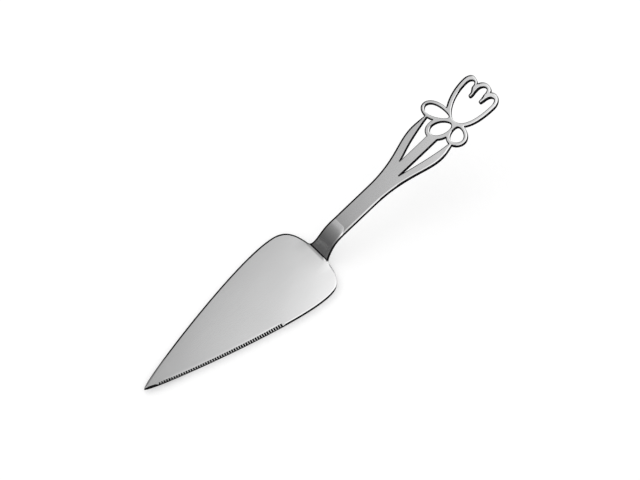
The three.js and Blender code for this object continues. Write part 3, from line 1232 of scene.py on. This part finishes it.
@dataclass(frozen=True)
class Leaf:
    """A leaf beside the stem: its outer edge, the slot behind it, and the point in its loop where it ends."""

    STRAP_LAP: ClassVar[float] = 5  # how far the leaf runs back into the strap

    side: Side
    start: float
    swell: float
    fill: float
    crest: float
    reach: float
    crotch: float
    crotch_run: float
    crotch_rise: float
    slot_run: float
    slot_drop: float
    loop: Loop
    tip_x: float
    tip_y: float
    tip_run: float
    tip_rise: float

    def outline(self, strap_length: float, strap_half: float, stem_half: float) -> Points:
        """Out from the strap, over the crest to the point, and back along the slot to the stem.

        Args:
            strap_length: Where the strap ends.
            strap_half: Half of the strap's width.
            stem_half: Half of the stem's width.

        Returns:
            The outline's points.
        """
        side, root = self.side, strap_length - self.STRAP_LAP
        tip_x, tip_y = self.loop.x + self.tip_x, self.loop.y + side * self.tip_y
        out, start, stem = side * self.reach, side * strap_half, side * stem_half
        pen = Pen(root, 0).line(root, start).line(self.start, start)
        pen.curve(self.start + self.swell, start, self.crest - self.fill, out, self.crest, out)
        pen.curve(
            self.crest + self.tip_run, out,
            tip_x - self.tip_run, tip_y + side * self.tip_rise, tip_x, tip_y,
        )
        pen.curve(
            tip_x - self.slot_run, tip_y - side * self.slot_drop,
            self.crotch + self.crotch_run, stem + side * self.crotch_rise, self.crotch, stem,
        )
        return pen.line(self.crotch, 0).points()


@dataclass(frozen=True)
class Petal:
    """The end of a petal: how far it reaches, its middle, its band of metal and its opening's lean."""

    tip: float
    middle: float
    band: float
    lean: float


@dataclass(frozen=True)
class Fold:
    """A fold that stands in the tulip's opening: rounded end, and the two corners of its root."""

    tip: float
    middle: float
    top_x: float
    top_y: float
    low_x: float
    low_y: float


@dataclass(frozen=True)
class Tulip:
    """The outlined tulip at the handle's end, measured from the base of its cup."""

    base: float = 95.85
    width: float = 25.1
    length: float = 21.5
    fill: float = 10
    open_width: float = 19.6
    open_shift: float = -0.4
    open_base: float = -1.4
    open_fill: float = 7.5
    base_band: float = 2.4
    upper: Petal = Petal(tip=26.7, middle=9.2, band=2.1, lean=-1.9)
    centre: Petal = Petal(tip=28.7, middle=-0.3, band=2.15, lean=-0.4)
    lower: Petal = Petal(tip=27.9, middle=-7.3, band=2.7, lean=-0.9)
    upper_notch: Pair = (24.4, 4.7)
    lower_notch: Pair = (26, -4.4)
    upper_fold: Fold = Fold(tip=16.8, middle=2.45, top_x=22.7, top_y=5.6, low_x=23, low_y=1.95)
    lower_fold: Fold = Fold(tip=18.3, middle=-4.2, top_x=24.3, top_y=-2.45, low_x=21, low_y=-5.5)
    fold_width: float = 2
    fold_length: float = 1.2

    def outline(self) -> Points:
        """The outside: a cup, and three petals parted by two notches.

        Returns:
            The outline's points.
        """
        half, length = self.width / 2, self.length
        pen = Pen(length, -half).round_in(self.lower.tip, self.lower.middle).round_out(*self.lower_notch)
        pen.round_in(self.centre.tip, self.centre.middle).round_out(*self.upper_notch)
        pen.round_in(self.upper.tip, self.upper.middle).round_out(length, half)
        pen.curve(length / 2, half, 0, half / 2, 0, 0).curve(0, -self.fill, length / 2, -half, length, -half)
        return pen.points()[:-1] + (self.base, 0)

    def opening(self) -> Points:
        """The opening, with the folds left standing.

        Returns:
            The opening's points.
        """
        half, base, length = self.open_width / 2, self.base_band, self.length
        low, high = self.open_shift - half, self.open_shift + half
        pen = Pen(length, low)
        self.round_petal(pen, self.lower, self.lower_fold.low_x, self.lower_fold.low_y)
        self.round_fold(pen, self.lower_fold)
        self.round_petal(pen, self.centre, self.upper_fold.low_x, self.upper_fold.low_y)
        self.round_fold(pen, self.upper_fold)
        self.round_petal(pen, self.upper, length, high)
        pen.curve(length / 2, high, base, self.open_base + half / 2, base, self.open_base)
        pen.curve(base, -self.open_fill, length / 2, low, length, low)
        return pen.points()[:-1] + (self.base, 0)

    def round_petal(self, pen: Pen, petal: Petal, x: float, y: float) -> None:
        """Draws the far end of a petal's opening, up to the next corner."""
        pen.round_in(petal.tip - petal.band, petal.middle + petal.lean).round_out(x, y)

    def round_fold(self, pen: Pen, fold: Fold) -> None:
        """Draws from one petal's opening round a fold to the next.

        Args:
            pen: The pen, at the fold's lower corner.
            fold: The fold.
        """
        shoulder, half = fold.tip + self.fold_length, self.fold_width / 2
        pen.ease(shoulder, fold.middle - half).round_in(fold.tip, fold.middle)
        pen.round_out(shoulder, fold.middle + half).ease(fold.top_x, fold.top_y)


TULIP = Tulip()
UPPER_LOOP = Loop(x=95.2, y=9.1, long=7.5, wide=3, turn=107.7, egg=0.32, band=2)
CENTRE_LOOP = Loop(x=90.3, y=0.65, long=6, wide=3.6, turn=149.9, egg=0.11, band=2.55)
LOWER_LOOP = Loop(x=93.9, y=-8.8, long=4.3, wide=3.6, turn=222.6, egg=0.32, band=2.2)
UPPER_LEAF = Leaf(
    Side.UPPER, start=41.4, swell=21, fill=11.5, crest=80.9, reach=12.95,
    crotch=62.6, crotch_run=5.8, crotch_rise=1.7, slot_run=19.5, slot_drop=3.5,
    loop=UPPER_LOOP, tip_x=-2.3, tip_y=2.3, tip_run=4, tip_rise=0.9,
)
LOWER_LEAF = Leaf(
    Side.LOWER, start=37.4, swell=22, fill=9.8, crest=79.2, reach=12.7,
    crotch=56.8, crotch_run=8.6, crotch_rise=1.9, slot_run=13, slot_drop=0.6,
    loop=LOWER_LOOP, tip_x=-1.5, tip_y=0.8, tip_run=5, tip_rise=1.4,
)


@dataclass
class Handle(Sheet):
    """The handle: one stamping with a foot, a neck, a strap, leaves, loops and a tulip, bent twice."""

    PRESS_ROWS: ClassVar[tuple[float, ...]] = (-0.5, -0.25, -0.08, 0.04, 0.2, 0.5)  # from the press line
    PRESS_POWER: ClassVar[int] = 3  # how suddenly the valley falls to the press line
    ROW_DIGITS: ClassVar[int] = 4  # rows that agree this far are one

    name: str = "handle_strap"
    thickness: float = 2.0
    burr: float = 0.1
    # How steep the bright part of its edges is; steeper facets are painted dark as shade
    unshaded_tilt: float = math.radians(19)
    shaded_side_tilt: float = math.radians(8)
    shaded_side_way: Pair = (-0.7466, 0.6652)
    shaded_side_span: Pair = (0, 0.6)
    shaded_side_power: float = 1
    pierced_tilts: Triple = (math.radians(40), math.radians(4), math.radians(27))
    fold_zone: tuple[Pair, Pair] = ((111.6, 121), (-7, 7.4))
    fold_share: float = 0.8
    slot_tilt: float = math.radians(12)
    slot_before: float = 80
    slot_ways: Pair = (0.4, 0.6)
    leaf_tilt: float = math.radians(14.5)
    leaf_reach: Pair = (44, 62)
    leaf_ways: Pair = (0.3, 0.7)
    lit_side_reach: float = 0
    # Foot and bends
    foot_length: float = 24
    foot_half: float = 7
    neck_angle: float = NECK_ANGLE
    grip_angle: float = math.radians(14.5)
    neck_rise: float = 12.5
    foot_bend: float = 1
    crook: float = 17
    bend_steps: int = 9
    crook_steps: int = 19
    # Flare of the neck
    flare_start: float = 0.8
    flare_end: float = 9
    flare_half: Pair = (6.9, 8.6)
    flare_run: float = 1.2
    flare_hold: float = 0.3
    flare_lead: float = 1
    flare_settle: float = 5.6
    # Strap and stem
    strap_half: float = 5.4
    strap_length: float = 36
    grip_extra: float = 0.35
    stem_half: float = 2.9
    # Valley that the bending press left
    press_line: float = 17.5
    press_tilt: float = math.radians(6)
    press_run: float = 5.6
    press_fade: float = 4.8
    press_straight: float = 2
    press_bow: float = 4.5
    press_step: float = 0.14
    press_clear: float = 0.6
    # Curve of the leaves
    leaf_zone: tuple[float, ...] = (45, 72, 86, 102)
    leaf_crown: float = 0.0012
    # Marks of the welding electrodes
    weld_marks: list[Pair] = field(default_factory=list)
    mark_radius: float = 2.4
    mark_depth: float = 0.1
    mark_fill: float = 1.6
    # Mesh
    spacing: float = 0.45
    corner_cut: float = 0.22
    row_step: float = 1.1
    across_step: float = 0.95
    across_margin: float = 4

    def __post_init__(self) -> None:
        """Works out where the bends begin and end along the sheet and in plan."""
        n, g = self.neck_angle, self.grip_angle
        tangent = self.crook * math.tan((n - g) / 2)
        bend_tangent = self.foot_bend * math.tan(n / 2)
        corner_x, corner_z = bend_tangent + self.neck_rise / math.tan(n), self.thickness + self.neck_rise
        self.bend_end = self.foot_bend * n
        self.crook_start = self.bend_end + self.neck_rise / math.sin(n) - bend_tangent - tangent
        self.crook_end = self.crook_start + self.crook * (n - g)
        self.crook_from = (corner_x - tangent * math.cos(n), corner_z - tangent * math.sin(n))
        self.crook_to = (corner_x + tangent * math.cos(g), corner_z + tangent * math.sin(g))
        self.crook_centre = (
            self.crook_from[0] + self.crook * math.sin(n), self.crook_from[1] - self.crook * math.cos(n)
        )

    def lip_share(self, loop: Points) -> Points:
        """No bright lip on the folds in the tulip's opening: it is painted dark as shade."""
        return np.where(self.on_folds(loop), 0, 1)

    def on_folds(self, loop: Points) -> Points:
        """Whether the points of a loop lie on the folds in the tulip's opening.

        Args:
            loop: Points of an edge loop.

        Returns:
            One answer per point.
        """
        (start, end), (low, high) = self.fold_zone
        s, y = loop[:, 0] - self.unrolled(start), loop[:, 1]
        return (s > 0) & (s < (end - start) / math.cos(self.grip_angle)) & (y > low) & (y < high)

    def roll_limit(self, spot: Points, pierced: bool) -> float:
        """The widest that the rolled edge may be: more on the folds than round other openings."""
        limit = super().roll_limit(spot, pierced)
        return self.EDGE_INSETS[0] * self.fold_share if pierced and self.on_folds(spot[None])[0] else limit

    def shade_limit(self, loop: Points, outward: Points, pierced: bool) -> Points:
        """Paints the leaves' edges dark as shade along the slots.

        Args:
            loop: Points of an edge loop.
            outward: Directions out of the metal, in plan.
            pierced: Whether the edge runs round an opening.

        Returns:
            The steepest bright tilt at each point.
        """
        limit = super().shade_limit(loop, outward, pierced)
        if not pierced or loop[:, 0].min() > self.slot_before:
            return limit
        far, right = self.slot_ways
        lower = (loop[:, 1] < 0) & (outward @ self.LIP_WAY > far)
        upper = (loop[:, 1] > 0) & (-outward @ self.SHADED_WAY > right)
        return np.where(lower | upper, self.slot_tilt, limit)

    def near_tilt(self, loop: Points, outward: Points) -> Points:
        """The steepest bright tilt on near edges, lower on the leaves and the tulip than on the strap."""
        share = ramp(loop[:, 0], *self.leaf_reach) * ramp(-outward @ self.LIP_WAY, *self.leaf_ways)
        return between(self.unshaded_tilt, self.leaf_tilt, share)

    def unroll(self, x: Points) -> Points:
        """Rolls places in plan out along the sheet's upper face.

        Args:
            x: Places in plan.

        Returns:
            Distances along the sheet from the bend line.
        """
        n, g = self.neck_angle, self.grip_angle
        bend_x = self.foot_bend * math.sin(n)
        turn = np.arcsin(np.clip((self.crook_centre[0] - x) / self.crook, -1, 1))
        return np.select(
            [x <= 0, x <= bend_x, x <= self.crook_from[0], x <= self.crook_to[0]],
            [
                x,
                self.foot_bend * np.arcsin(np.clip(x / self.foot_bend, -1, 1)),
                self.bend_end + (x - bend_x) / math.cos(n),
                self.crook_start + self.crook * (n - turn),
            ],
            self.crook_end + (x - self.crook_to[0]) / math.cos(g),
        )

    def unrolled(self, x: float) -> float:
        """One place in plan rolled out along the sheet's upper face."""
        return float(self.unroll(np.array([x]))[0])

    def slopes(self, s: Points) -> tuple[Points, Points]:
        """How steep the foot's bend and the crook are at distances along the sheet."""
        past = np.clip(s - self.crook_start, 0, self.crook_end - self.crook_start)
        return np.clip(s, 0, self.bend_end) / self.foot_bend, self.neck_angle - past / self.crook

    def top(self, flat: Points) -> Points:
        """The upper face: flat foot, bend, neck, crook and grip, with the press line's slight valley.

        Args:
            flat: Points in the flat.

        Returns:
            Their places.
        """
        s, n, g, t = flat[:, 0], self.neck_angle, self.grip_angle, self.thickness
        foot, crook = self.slopes(s)
        bend_x, bend_z = self.foot_bend * math.sin(n), t + self.foot_bend * (1 - math.cos(n))
        zones = [s <= 0, s <= self.bend_end, s <= self.crook_start, s <= self.crook_end]
        up = s - self.bend_end
        on = s - self.crook_end
        x = np.select(zones, [
            s, self.foot_bend * np.sin(foot), bend_x + up * math.cos(n),
            self.crook_centre[0] - self.crook * np.sin(crook),
        ], self.crook_to[0] + on * math.cos(g))
        z = np.select(zones, [
            np.full(len(s), t), t + self.foot_bend * (1 - np.cos(foot)), bend_z + up * math.sin(n),
            self.crook_centre[1] + self.crook * np.cos(crook),
        ], self.crook_to[1] + on * math.sin(g))
        dip = self.valley(flat) - self.droop(flat)
        return np.column_stack([x, flat[:, 1], z]) + dip[:, None] * self.through(flat)

    def through(self, flat: Points) -> Points:
        """Directions square to the bent sheet, leaving out its valley and the leaves' curve.

        Args:
            flat: Points in the flat.

        Returns:
            One direction per point.
        """
        foot, crook = self.slopes(flat[:, 0])
        slope = np.where(flat[:, 0] <= self.crook_start, foot, crook)
        return np.column_stack([-np.sin(slope), np.zeros(len(slope)), np.cos(slope)])

    def press_place(self, y: Points) -> Points:
        """Where the press line lies along the sheet, at places across it."""
        bow = ramp(-y, self.press_straight, self.strap_half)
        return self.unrolled(self.press_line) - self.press_bow * bow**2

    def valley(self, flat: Points) -> Points:
        """Height of the shallow valley that the bending press left across the strap.

        Args:
            flat: Points in the flat.

        Returns:
            The height at each point, below 0; at the press line it falls with the press's tilt.
        """
        q = flat[:, 0] - self.press_place(flat[:, 1])
        depth = math.tan(self.press_tilt) * self.press_run / self.PRESS_POWER
        near = np.clip(1 + q / self.press_run, 0, 1) ** self.PRESS_POWER
        return -depth * np.where(q < 0, near, np.exp(-np.maximum(q, 0) / self.press_fade))

    def droop(self, flat: Points) -> Points:
        """How far the leaves curve down to both sides of the stem.

        Args:
            flat: Points in the flat.

        Returns:
            The drop at each point.
        """
        start, full, hold, end = self.leaf_zone
        share = np.minimum(ramp(flat[:, 0], start, full), ramp(flat[:, 0], end, hold))
        return self.leaf_crown * smooth(share) * flat[:, 1] ** 2

    def gauge(self, flat: Points) -> Points:
        """The thickness: more along the grip, less where the welding electrodes pressed the foot's underside.

        Args:
            flat: Points in the flat.

        Returns:
            The thickness at each point.
        """
        thick = self.thickness + self.grip_extra * ramp(flat[:, 0], self.bend_end, self.crook_end)
        for x, y in self.weld_marks:
            reach = np.hypot(flat[:, 0] - x, flat[:, 1] - y) / self.mark_radius
            thick -= self.mark_depth * np.clip(self.mark_fill * (1 - reach**2), 0, 1)
        return thick

    def stalk(self) -> Points:
        """Foot, neck, strap and stem in one outline; the stem runs into the centre loop.

        Returns:
            The outline's points.
        """
        foot, strap, stem, end = self.foot_half, self.strap_half, self.stem_half, self.strap_length
        front, pull = foot - self.foot_length, self.flare_start + self.flare_run
        settle, (low, high) = self.flare_end - self.flare_settle, self.flare_half
        waist_low, waist_high = (between(strap, half, self.flare_hold) for half in (low, high))
        pen = Pen(front, -foot).line(-self.flare_lead, -foot).line(self.flare_start, -low)
        pen.curve(pull, -waist_low, settle, -strap, self.flare_end, -strap)
        pen.line(end, -strap).line(end, -stem).line(CENTRE_LOOP.x, -stem)
        pen.line(CENTRE_LOOP.x, stem).line(end, stem).line(end, strap).line(self.flare_end, strap)
        pen.curve(settle, strap, pull, waist_high, self.flare_start, high)
        pen.line(-self.flare_lead, foot).line(front, foot)
        pen.round_in(front - foot, 0).round_out(front, -foot)
        return pen.points()[:-1]

    def bent_rows(self) -> Points:
        """Lines across the sheet that carry its bends and the press line.

        Returns:
            Their places along the sheet.
        """
        line = self.press_place(np.array([self.strap_half, -self.strap_half]))
        return np.unique(np.concatenate([
            np.linspace(0, self.bend_end, self.bend_steps),
            np.linspace(self.crook_start, self.crook_end, self.crook_steps),
            *(line + q for q in self.PRESS_ROWS),
        ]).round(self.ROW_DIGITS))

    def press_points(self) -> Points:
        """Points along both sides of the press line."""
        y = np.arange(-self.strap_half, self.strap_half, self.press_step)
        return np.concatenate([np.column_stack([self.press_place(y) + q, y]) for q in self.PRESS_ROWS])

    def loops(self) -> list[Points]:
        """The handle's edge loops, rolled out flat along its upper face.

        Returns:
            The outer loop, then the openings.
        """
        ovals = (UPPER_LOOP, CENTRE_LOOP, LOWER_LOOP)
        outlines = [self.stalk(), TULIP.outline(), *(oval.outline(oval.band) for oval in ovals)]
        for leaf in (UPPER_LEAF, LOWER_LEAF):
            outlines.append(leaf.outline(self.strap_length, self.strap_half, self.stem_half))
        made = []
        for loop in cut_plan(outlines, [*(oval.outline(0) for oval in ovals), TULIP.opening()]):
            rolled = np.column_stack([self.unroll(loop[:, 0]), loop[:, 1]])
            made.append(cross_rows(even_out(rolled, self.spacing, self.corner_cut), self.bent_rows()))
        return made

    def lattice(self) -> Points:
        """Rows across the sheet, close together in the bends and along the press line.

        Returns:
            Their points.
        """
        end = self.unrolled(TULIP.base + TULIP.centre.tip)
        plain = [(-self.foot_length, 0), (self.bend_end, self.crook_start), (self.crook_end, end)]
        rows = [np.linspace(a, b, round((b - a) / self.row_step) + 1)[1:-1] for a, b in plain]
        rows = np.unique(np.concatenate([self.bent_rows(), *rows]).round(self.ROW_DIGITS))
        half = TULIP.width / 2 + self.across_margin
        grid = crossings(rows, np.arange(-half, half, self.across_step))
        clear = np.abs(grid[:, 0] - self.press_place(grid[:, 1])) > self.press_clear
        return np.concatenate([grid[clear], self.press_points()])

    def finishes(self) -> list[SteelFinish]:
        """Satin faces, a bright arris, and sheared edges painted dark as shade."""
        return [HANDLE_SATIN, UNSHADED_ARRIS, SHEARED_EDGE_PAINTED_SHADE]


@dataclass
class SpotWeld:
    """A weld nugget that fills the lap between blade and foot, with a hollow rim."""

    name: str
    node: str
    x: float
    y: float
    radius: float = 2.2
    waist: float = 0.93
    low: float = 2.0
    high: float = 2.1
    steps: int = 40

    def mesh(self) -> bpy.types.Mesh:
        """The nugget's closed mesh: three rims and two ends.

        Returns:
            The mesh, in metres.
        """
        middle = (self.low + self.high) / 2
        rims = [(self.radius, self.low), (self.waist * self.radius, middle), (self.radius, self.high)]
        turns = np.linspace(0, 2 * math.pi, self.steps, endpoint=False)
        spots = [(self.x + r * math.cos(a), self.y + r * math.sin(a), z) for r, z in rims for a in turns]
        spots += [(self.x, self.y, self.low), (self.x, self.y, self.high)]
        n, faces = self.steps, []
        for i in range(n):
            j = (i + 1) % n
            faces += [(k * n + i, k * n + j, (k + 1) * n + j, (k + 1) * n + i) for k in (0, 1)]
            faces += [(3 * n, j, i), (3 * n + 1, 2 * n + i, 2 * n + j)]
        mesh = bpy.data.meshes.new(self.name)
        mesh.from_pydata((np.array(spots) + (BEND_LINE, 0, 0)) * MM, [], faces)
        mesh.materials.append(FUSED_STEEL.material())
        mesh.update()
        return mesh

    def build(self, slot: str) -> bpy.types.Object:
        """Makes the nugget, in place of its node; the slot is not used."""
        return set_in_place(self.mesh(), self.node)


@dataclass
class Studio:
    """The white table, the lights and cards around it, and the camera, in metres."""

    # Camera
    aim: Triple = (0.01926, 0.00539, 0.0036)
    azimuth: float = math.radians(-41.7)
    elevation: float = math.radians(61)
    lens: float = 1000
    sensor: float = 36
    frame_width: float = 0.3471
    # Light and table
    ambient: float = 0.8
    backdrop: float = 1.0
    floor_lift: float = 0.4
    floor_white: float = 0.72
    floor_half: float = 3
    floor_drop: float = 0.05 * MM
    window_place: Triple = (-0.2, 0.9, 1.0)
    window_size: float = 1.2
    window_power: float = 3.4
    # Canopy
    canopy_height: float = 0.27
    canopy_shades: tuple[Triple, ...] = (  # place across, glow of the near part, glow of the far part
        (-1.0, 0.15, 0.15), (-0.58, 0.2, 0.15), (-0.33, 0.25, 0.15), (-0.206, 0.32, 0.15),
        (-0.13, 0.42, 0.15), (-0.085, 0.54, 0.15), (-0.07, 0.65, 0.15), (-0.055, 0.78, 0.15),
        (-0.04, 0.85, 0.15), (-0.025, 0.91, 0.16), (-0.01, 0.93, 0.17), (0.005, 1.0, 0.18),
        (0.02, 1.4, 0.2), (0.04, 1.6, 0.25), (0.07, 1.65, 0.4), (0.15, 1.65, 1.0),
        (0.4, 1.5, 1.8), (0.55, 0.7, 0.7), (1.8, 0.5, 0.5),
    )
    front_rows: tuple[float, ...] = (-0.9, -0.35)
    front_limit: float = 0.7
    near_rows: tuple[Pair, ...] = ((-0.22, 1.0), (0.125, 1.0), (0.16, 0.87), (0.2, 0.87))  # place, share
    far_rows: tuple[float, ...] = (0.27, 0.45)
    back_rows: tuple[float, ...] = (0.55, 1.0)
    back_glow: float = 1.0
    # Dim wall, and the dim mat at its foot
    wall_radius: float = 0.95
    wall_from: float = math.radians(115)
    wall_to: float = math.radians(215)
    wall_steps: int = 25
    wall_glows: Triple = (0.14, 0.17, 0.17)  # mat, foot of the wall, top of the wall
    mat_radius: float = 0.09
    mat_height: float = 0.0004

    def set_up(self) -> None:
        """Builds the whole set."""
        self.place_camera()
        self.lay_floor()
        self.light_room()
        self.hang_window()
        self.stand_cards()

    def seen(self, tree: bpy.types.NodeTree) -> bpy.types.NodeSocket:
        """A value of 1 for what camera, mirrors and glass see, and 0 for the light that falls on things.

        Args:
            tree: The nodes it is added to.

        Returns:
            The value.
        """
        path = tree.nodes.new("ShaderNodeLightPath")
        last = path.outputs["Is Camera Ray"]
        for name in ("Is Glossy Ray", "Is Transmission Ray"):
            more = tree.nodes.new("ShaderNodeMath")
            more.operation = "MAXIMUM"
            tree.links.new(last, more.inputs[0])
            tree.links.new(path.outputs[name], more.inputs[1])
            last = more.outputs[0]
        return last

    def place_camera(self) -> None:
        """Stands the camera at the photograph's angle, far off behind a long lens."""
        data = bpy.data.cameras.new("camera")
        data.lens = self.lens
        data.sensor_width = self.sensor
        camera = bpy.data.objects.new("camera", data)
        bpy.context.scene.collection.objects.link(camera)
        a, e = self.azimuth, self.elevation
        back = Vector((math.sin(a) * math.cos(e), -math.cos(a) * math.cos(e), math.sin(e)))
        camera.location = Vector(self.aim) + back * (self.frame_width * self.lens / self.sensor)
        camera.rotation_euler = (-back).to_track_quat("-Z", "Y").to_euler()
        bpy.context.scene.camera = camera

    def lay_floor(self) -> None:
        """Lays a white table that keeps the lifter's shadow."""
        half = self.floor_half
        mesh = bpy.data.meshes.new("table")
        corners = [(-half, -half, 0), (half, -half, 0), (half, half, 0), (-half, half, 0)]
        mesh.from_pydata(corners, [], [(0, 1, 2, 3)])
        table = bpy.data.objects.new("table", mesh)
        table.location.z = -self.floor_drop
        bpy.context.scene.collection.objects.link(table)
        bench = Bench("white_table")
        paper = bench.add("ShaderNodeBsdfDiffuse", {"Color": (*[self.floor_white] * 3, 1)})
        glow = bench.add("ShaderNodeEmission")
        lift = bench.add("ShaderNodeMath", {1: self.floor_lift}, operation="MULTIPLY")
        both = bench.add("ShaderNodeAddShader")
        bench.link(self.seen(bench.tree), lift.inputs[0])
        bench.link(lift.outputs[0], glow.inputs["Strength"])
        bench.link(paper.outputs[0], both.inputs[0])
        bench.link(glow.outputs[0], both.inputs[1])
        bench.link(both.outputs[0], bench.out.inputs["Surface"])
        mesh.materials.append(bench.material)

    def light_room(self) -> None:
        """Lights the room softly, with white all round."""
        world = bpy.data.worlds.new("white_room")
        world.use_nodes = True
        bpy.context.scene.world = world
        tree = world.node_tree
        tree.nodes.clear()
        out = tree.nodes.new("ShaderNodeOutputWorld")
        mix = tree.nodes.new("ShaderNodeMixShader")
        tree.links.new(self.seen(tree), mix.inputs["Fac"])
        for socket, strength in ((1, self.ambient), (2, self.backdrop)):
            white = tree.nodes.new("ShaderNodeBackground")
            white.inputs["Color"].default_value = (1, 1, 1, 1)
            white.inputs["Strength"].default_value = strength
            tree.links.new(white.outputs[0], mix.inputs[socket])
        tree.links.new(mix.outputs[0], out.inputs["Surface"])
        bpy.context.scene.view_settings.view_transform = "Standard"

    def hang_window(self) -> None:
        """Hangs the one square soft lamp, facing the middle of the table."""
        data = bpy.data.lights.new("window_lamp", "AREA")
        data.size = self.window_size
        data.energy = self.window_power
        lamp = bpy.data.objects.new("window_lamp", data)
        lamp.location = self.window_place
        lamp.rotation_euler = (-Vector(self.window_place)).to_track_quat("-Z", "Y").to_euler()
        bpy.context.scene.collection.objects.link(lamp)

    def card(self, name: str, rows: list[list[Triple]], glows: Points) -> None:
        """Stands a shaded card that shows only in polished metal.

        Args:
            name: Its name.
            rows: Rows of its points, all of one length.
            glows: How bright the metal sees each point, where 1 is white, row by row.
        """
        mesh, n = bpy.data.meshes.new(name), len(rows[0])
        starts = [r * n + k for r in range(len(rows) - 1) for k in range(n - 1)]
        mesh.from_pydata(sum(rows, []), [], [(k, k + 1, k + n + 1, k + n) for k in starts])
        mesh.attributes.new("glow", "FLOAT", "POINT").data.foreach_set("value", np.array(glows, np.float32))
        bench = Bench(name)
        shine = bench.add("ShaderNodeEmission")
        shade = bench.add("ShaderNodeAttribute", attribute_name="glow")
        bench.link(shade.outputs["Fac"], shine.inputs["Strength"])
        bench.link(shine.outputs[0], bench.out.inputs["Surface"])
        mesh.materials.append(bench.material)
        card = bpy.data.objects.new(name, mesh)
        for kind in ("camera", "diffuse", "shadow", "transmission", "volume_scatter"):
            setattr(card, f"visible_{kind}", False)
        bpy.context.scene.collection.objects.link(card)

    def stand_cards(self) -> None:
        """Hangs a shaded canopy, dim on the left and white at the back, and stands a dim wall on the left."""
        right = Vector((math.cos(self.azimuth), math.sin(self.azimuth), 0))
        away, up = Vector((-right.y, right.x, 0)), Vector((0, 0, self.canopy_height))
        across, near, far = np.array(self.canopy_shades).T
        shaded = [(w, np.minimum(near, self.front_limit)) for w in self.front_rows]
        shaded += [(w, near * share) for w, share in self.near_rows]
        shaded += [(w, far) for w in self.far_rows]
        shaded += [(w, np.full(len(across), self.back_glow)) for w in self.back_rows]
        rows = [[tuple(right * q + away * w + up) for q in across.tolist()] for w, _ in shaded]
        self.card("canopy", rows, np.concatenate([glows for _, glows in shaded]))
        turns = np.linspace(self.wall_from, self.wall_to, self.wall_steps)
        edges = (
            (self.mat_radius, self.mat_height), (self.wall_radius, self.mat_height),
            (self.wall_radius, self.canopy_height),
        )
        rows = [[(r * math.cos(a), r * math.sin(a), z) for a in turns] for r, z in edges]
        self.card("dim_wall", rows, np.repeat(self.wall_glows, len(turns)))


def main() -> None:
    """Builds the set and the lifter, piece by piece."""
    logging.basicConfig(level=logging.INFO, format="%(name)s: %(message)s")
    Studio().set_up()
    welds = [
        SpotWeld("weld_front", "spot_weld_front", x=-18, y=0),
        SpotWeld("weld_left", "spot_weld_left", x=-5.5, y=3.3),
        SpotWeld("weld_right", "spot_weld_right", x=-5.5, y=-3.3),
    ]
    pieces = [
        Blade().build("blade", "blade_steel"),
        Handle(weld_marks=[(weld.x, weld.y) for weld in welds]).build("handle", "handle_steel"),
        *(weld.build("weld_steel") for weld in welds),
    ]
    for piece in pieces:
        LOG.info("%s: %d points, %d faces", piece.name, len(piece.data.vertices), len(piece.data.polygons))


if __name__ == "__main__":
    main()
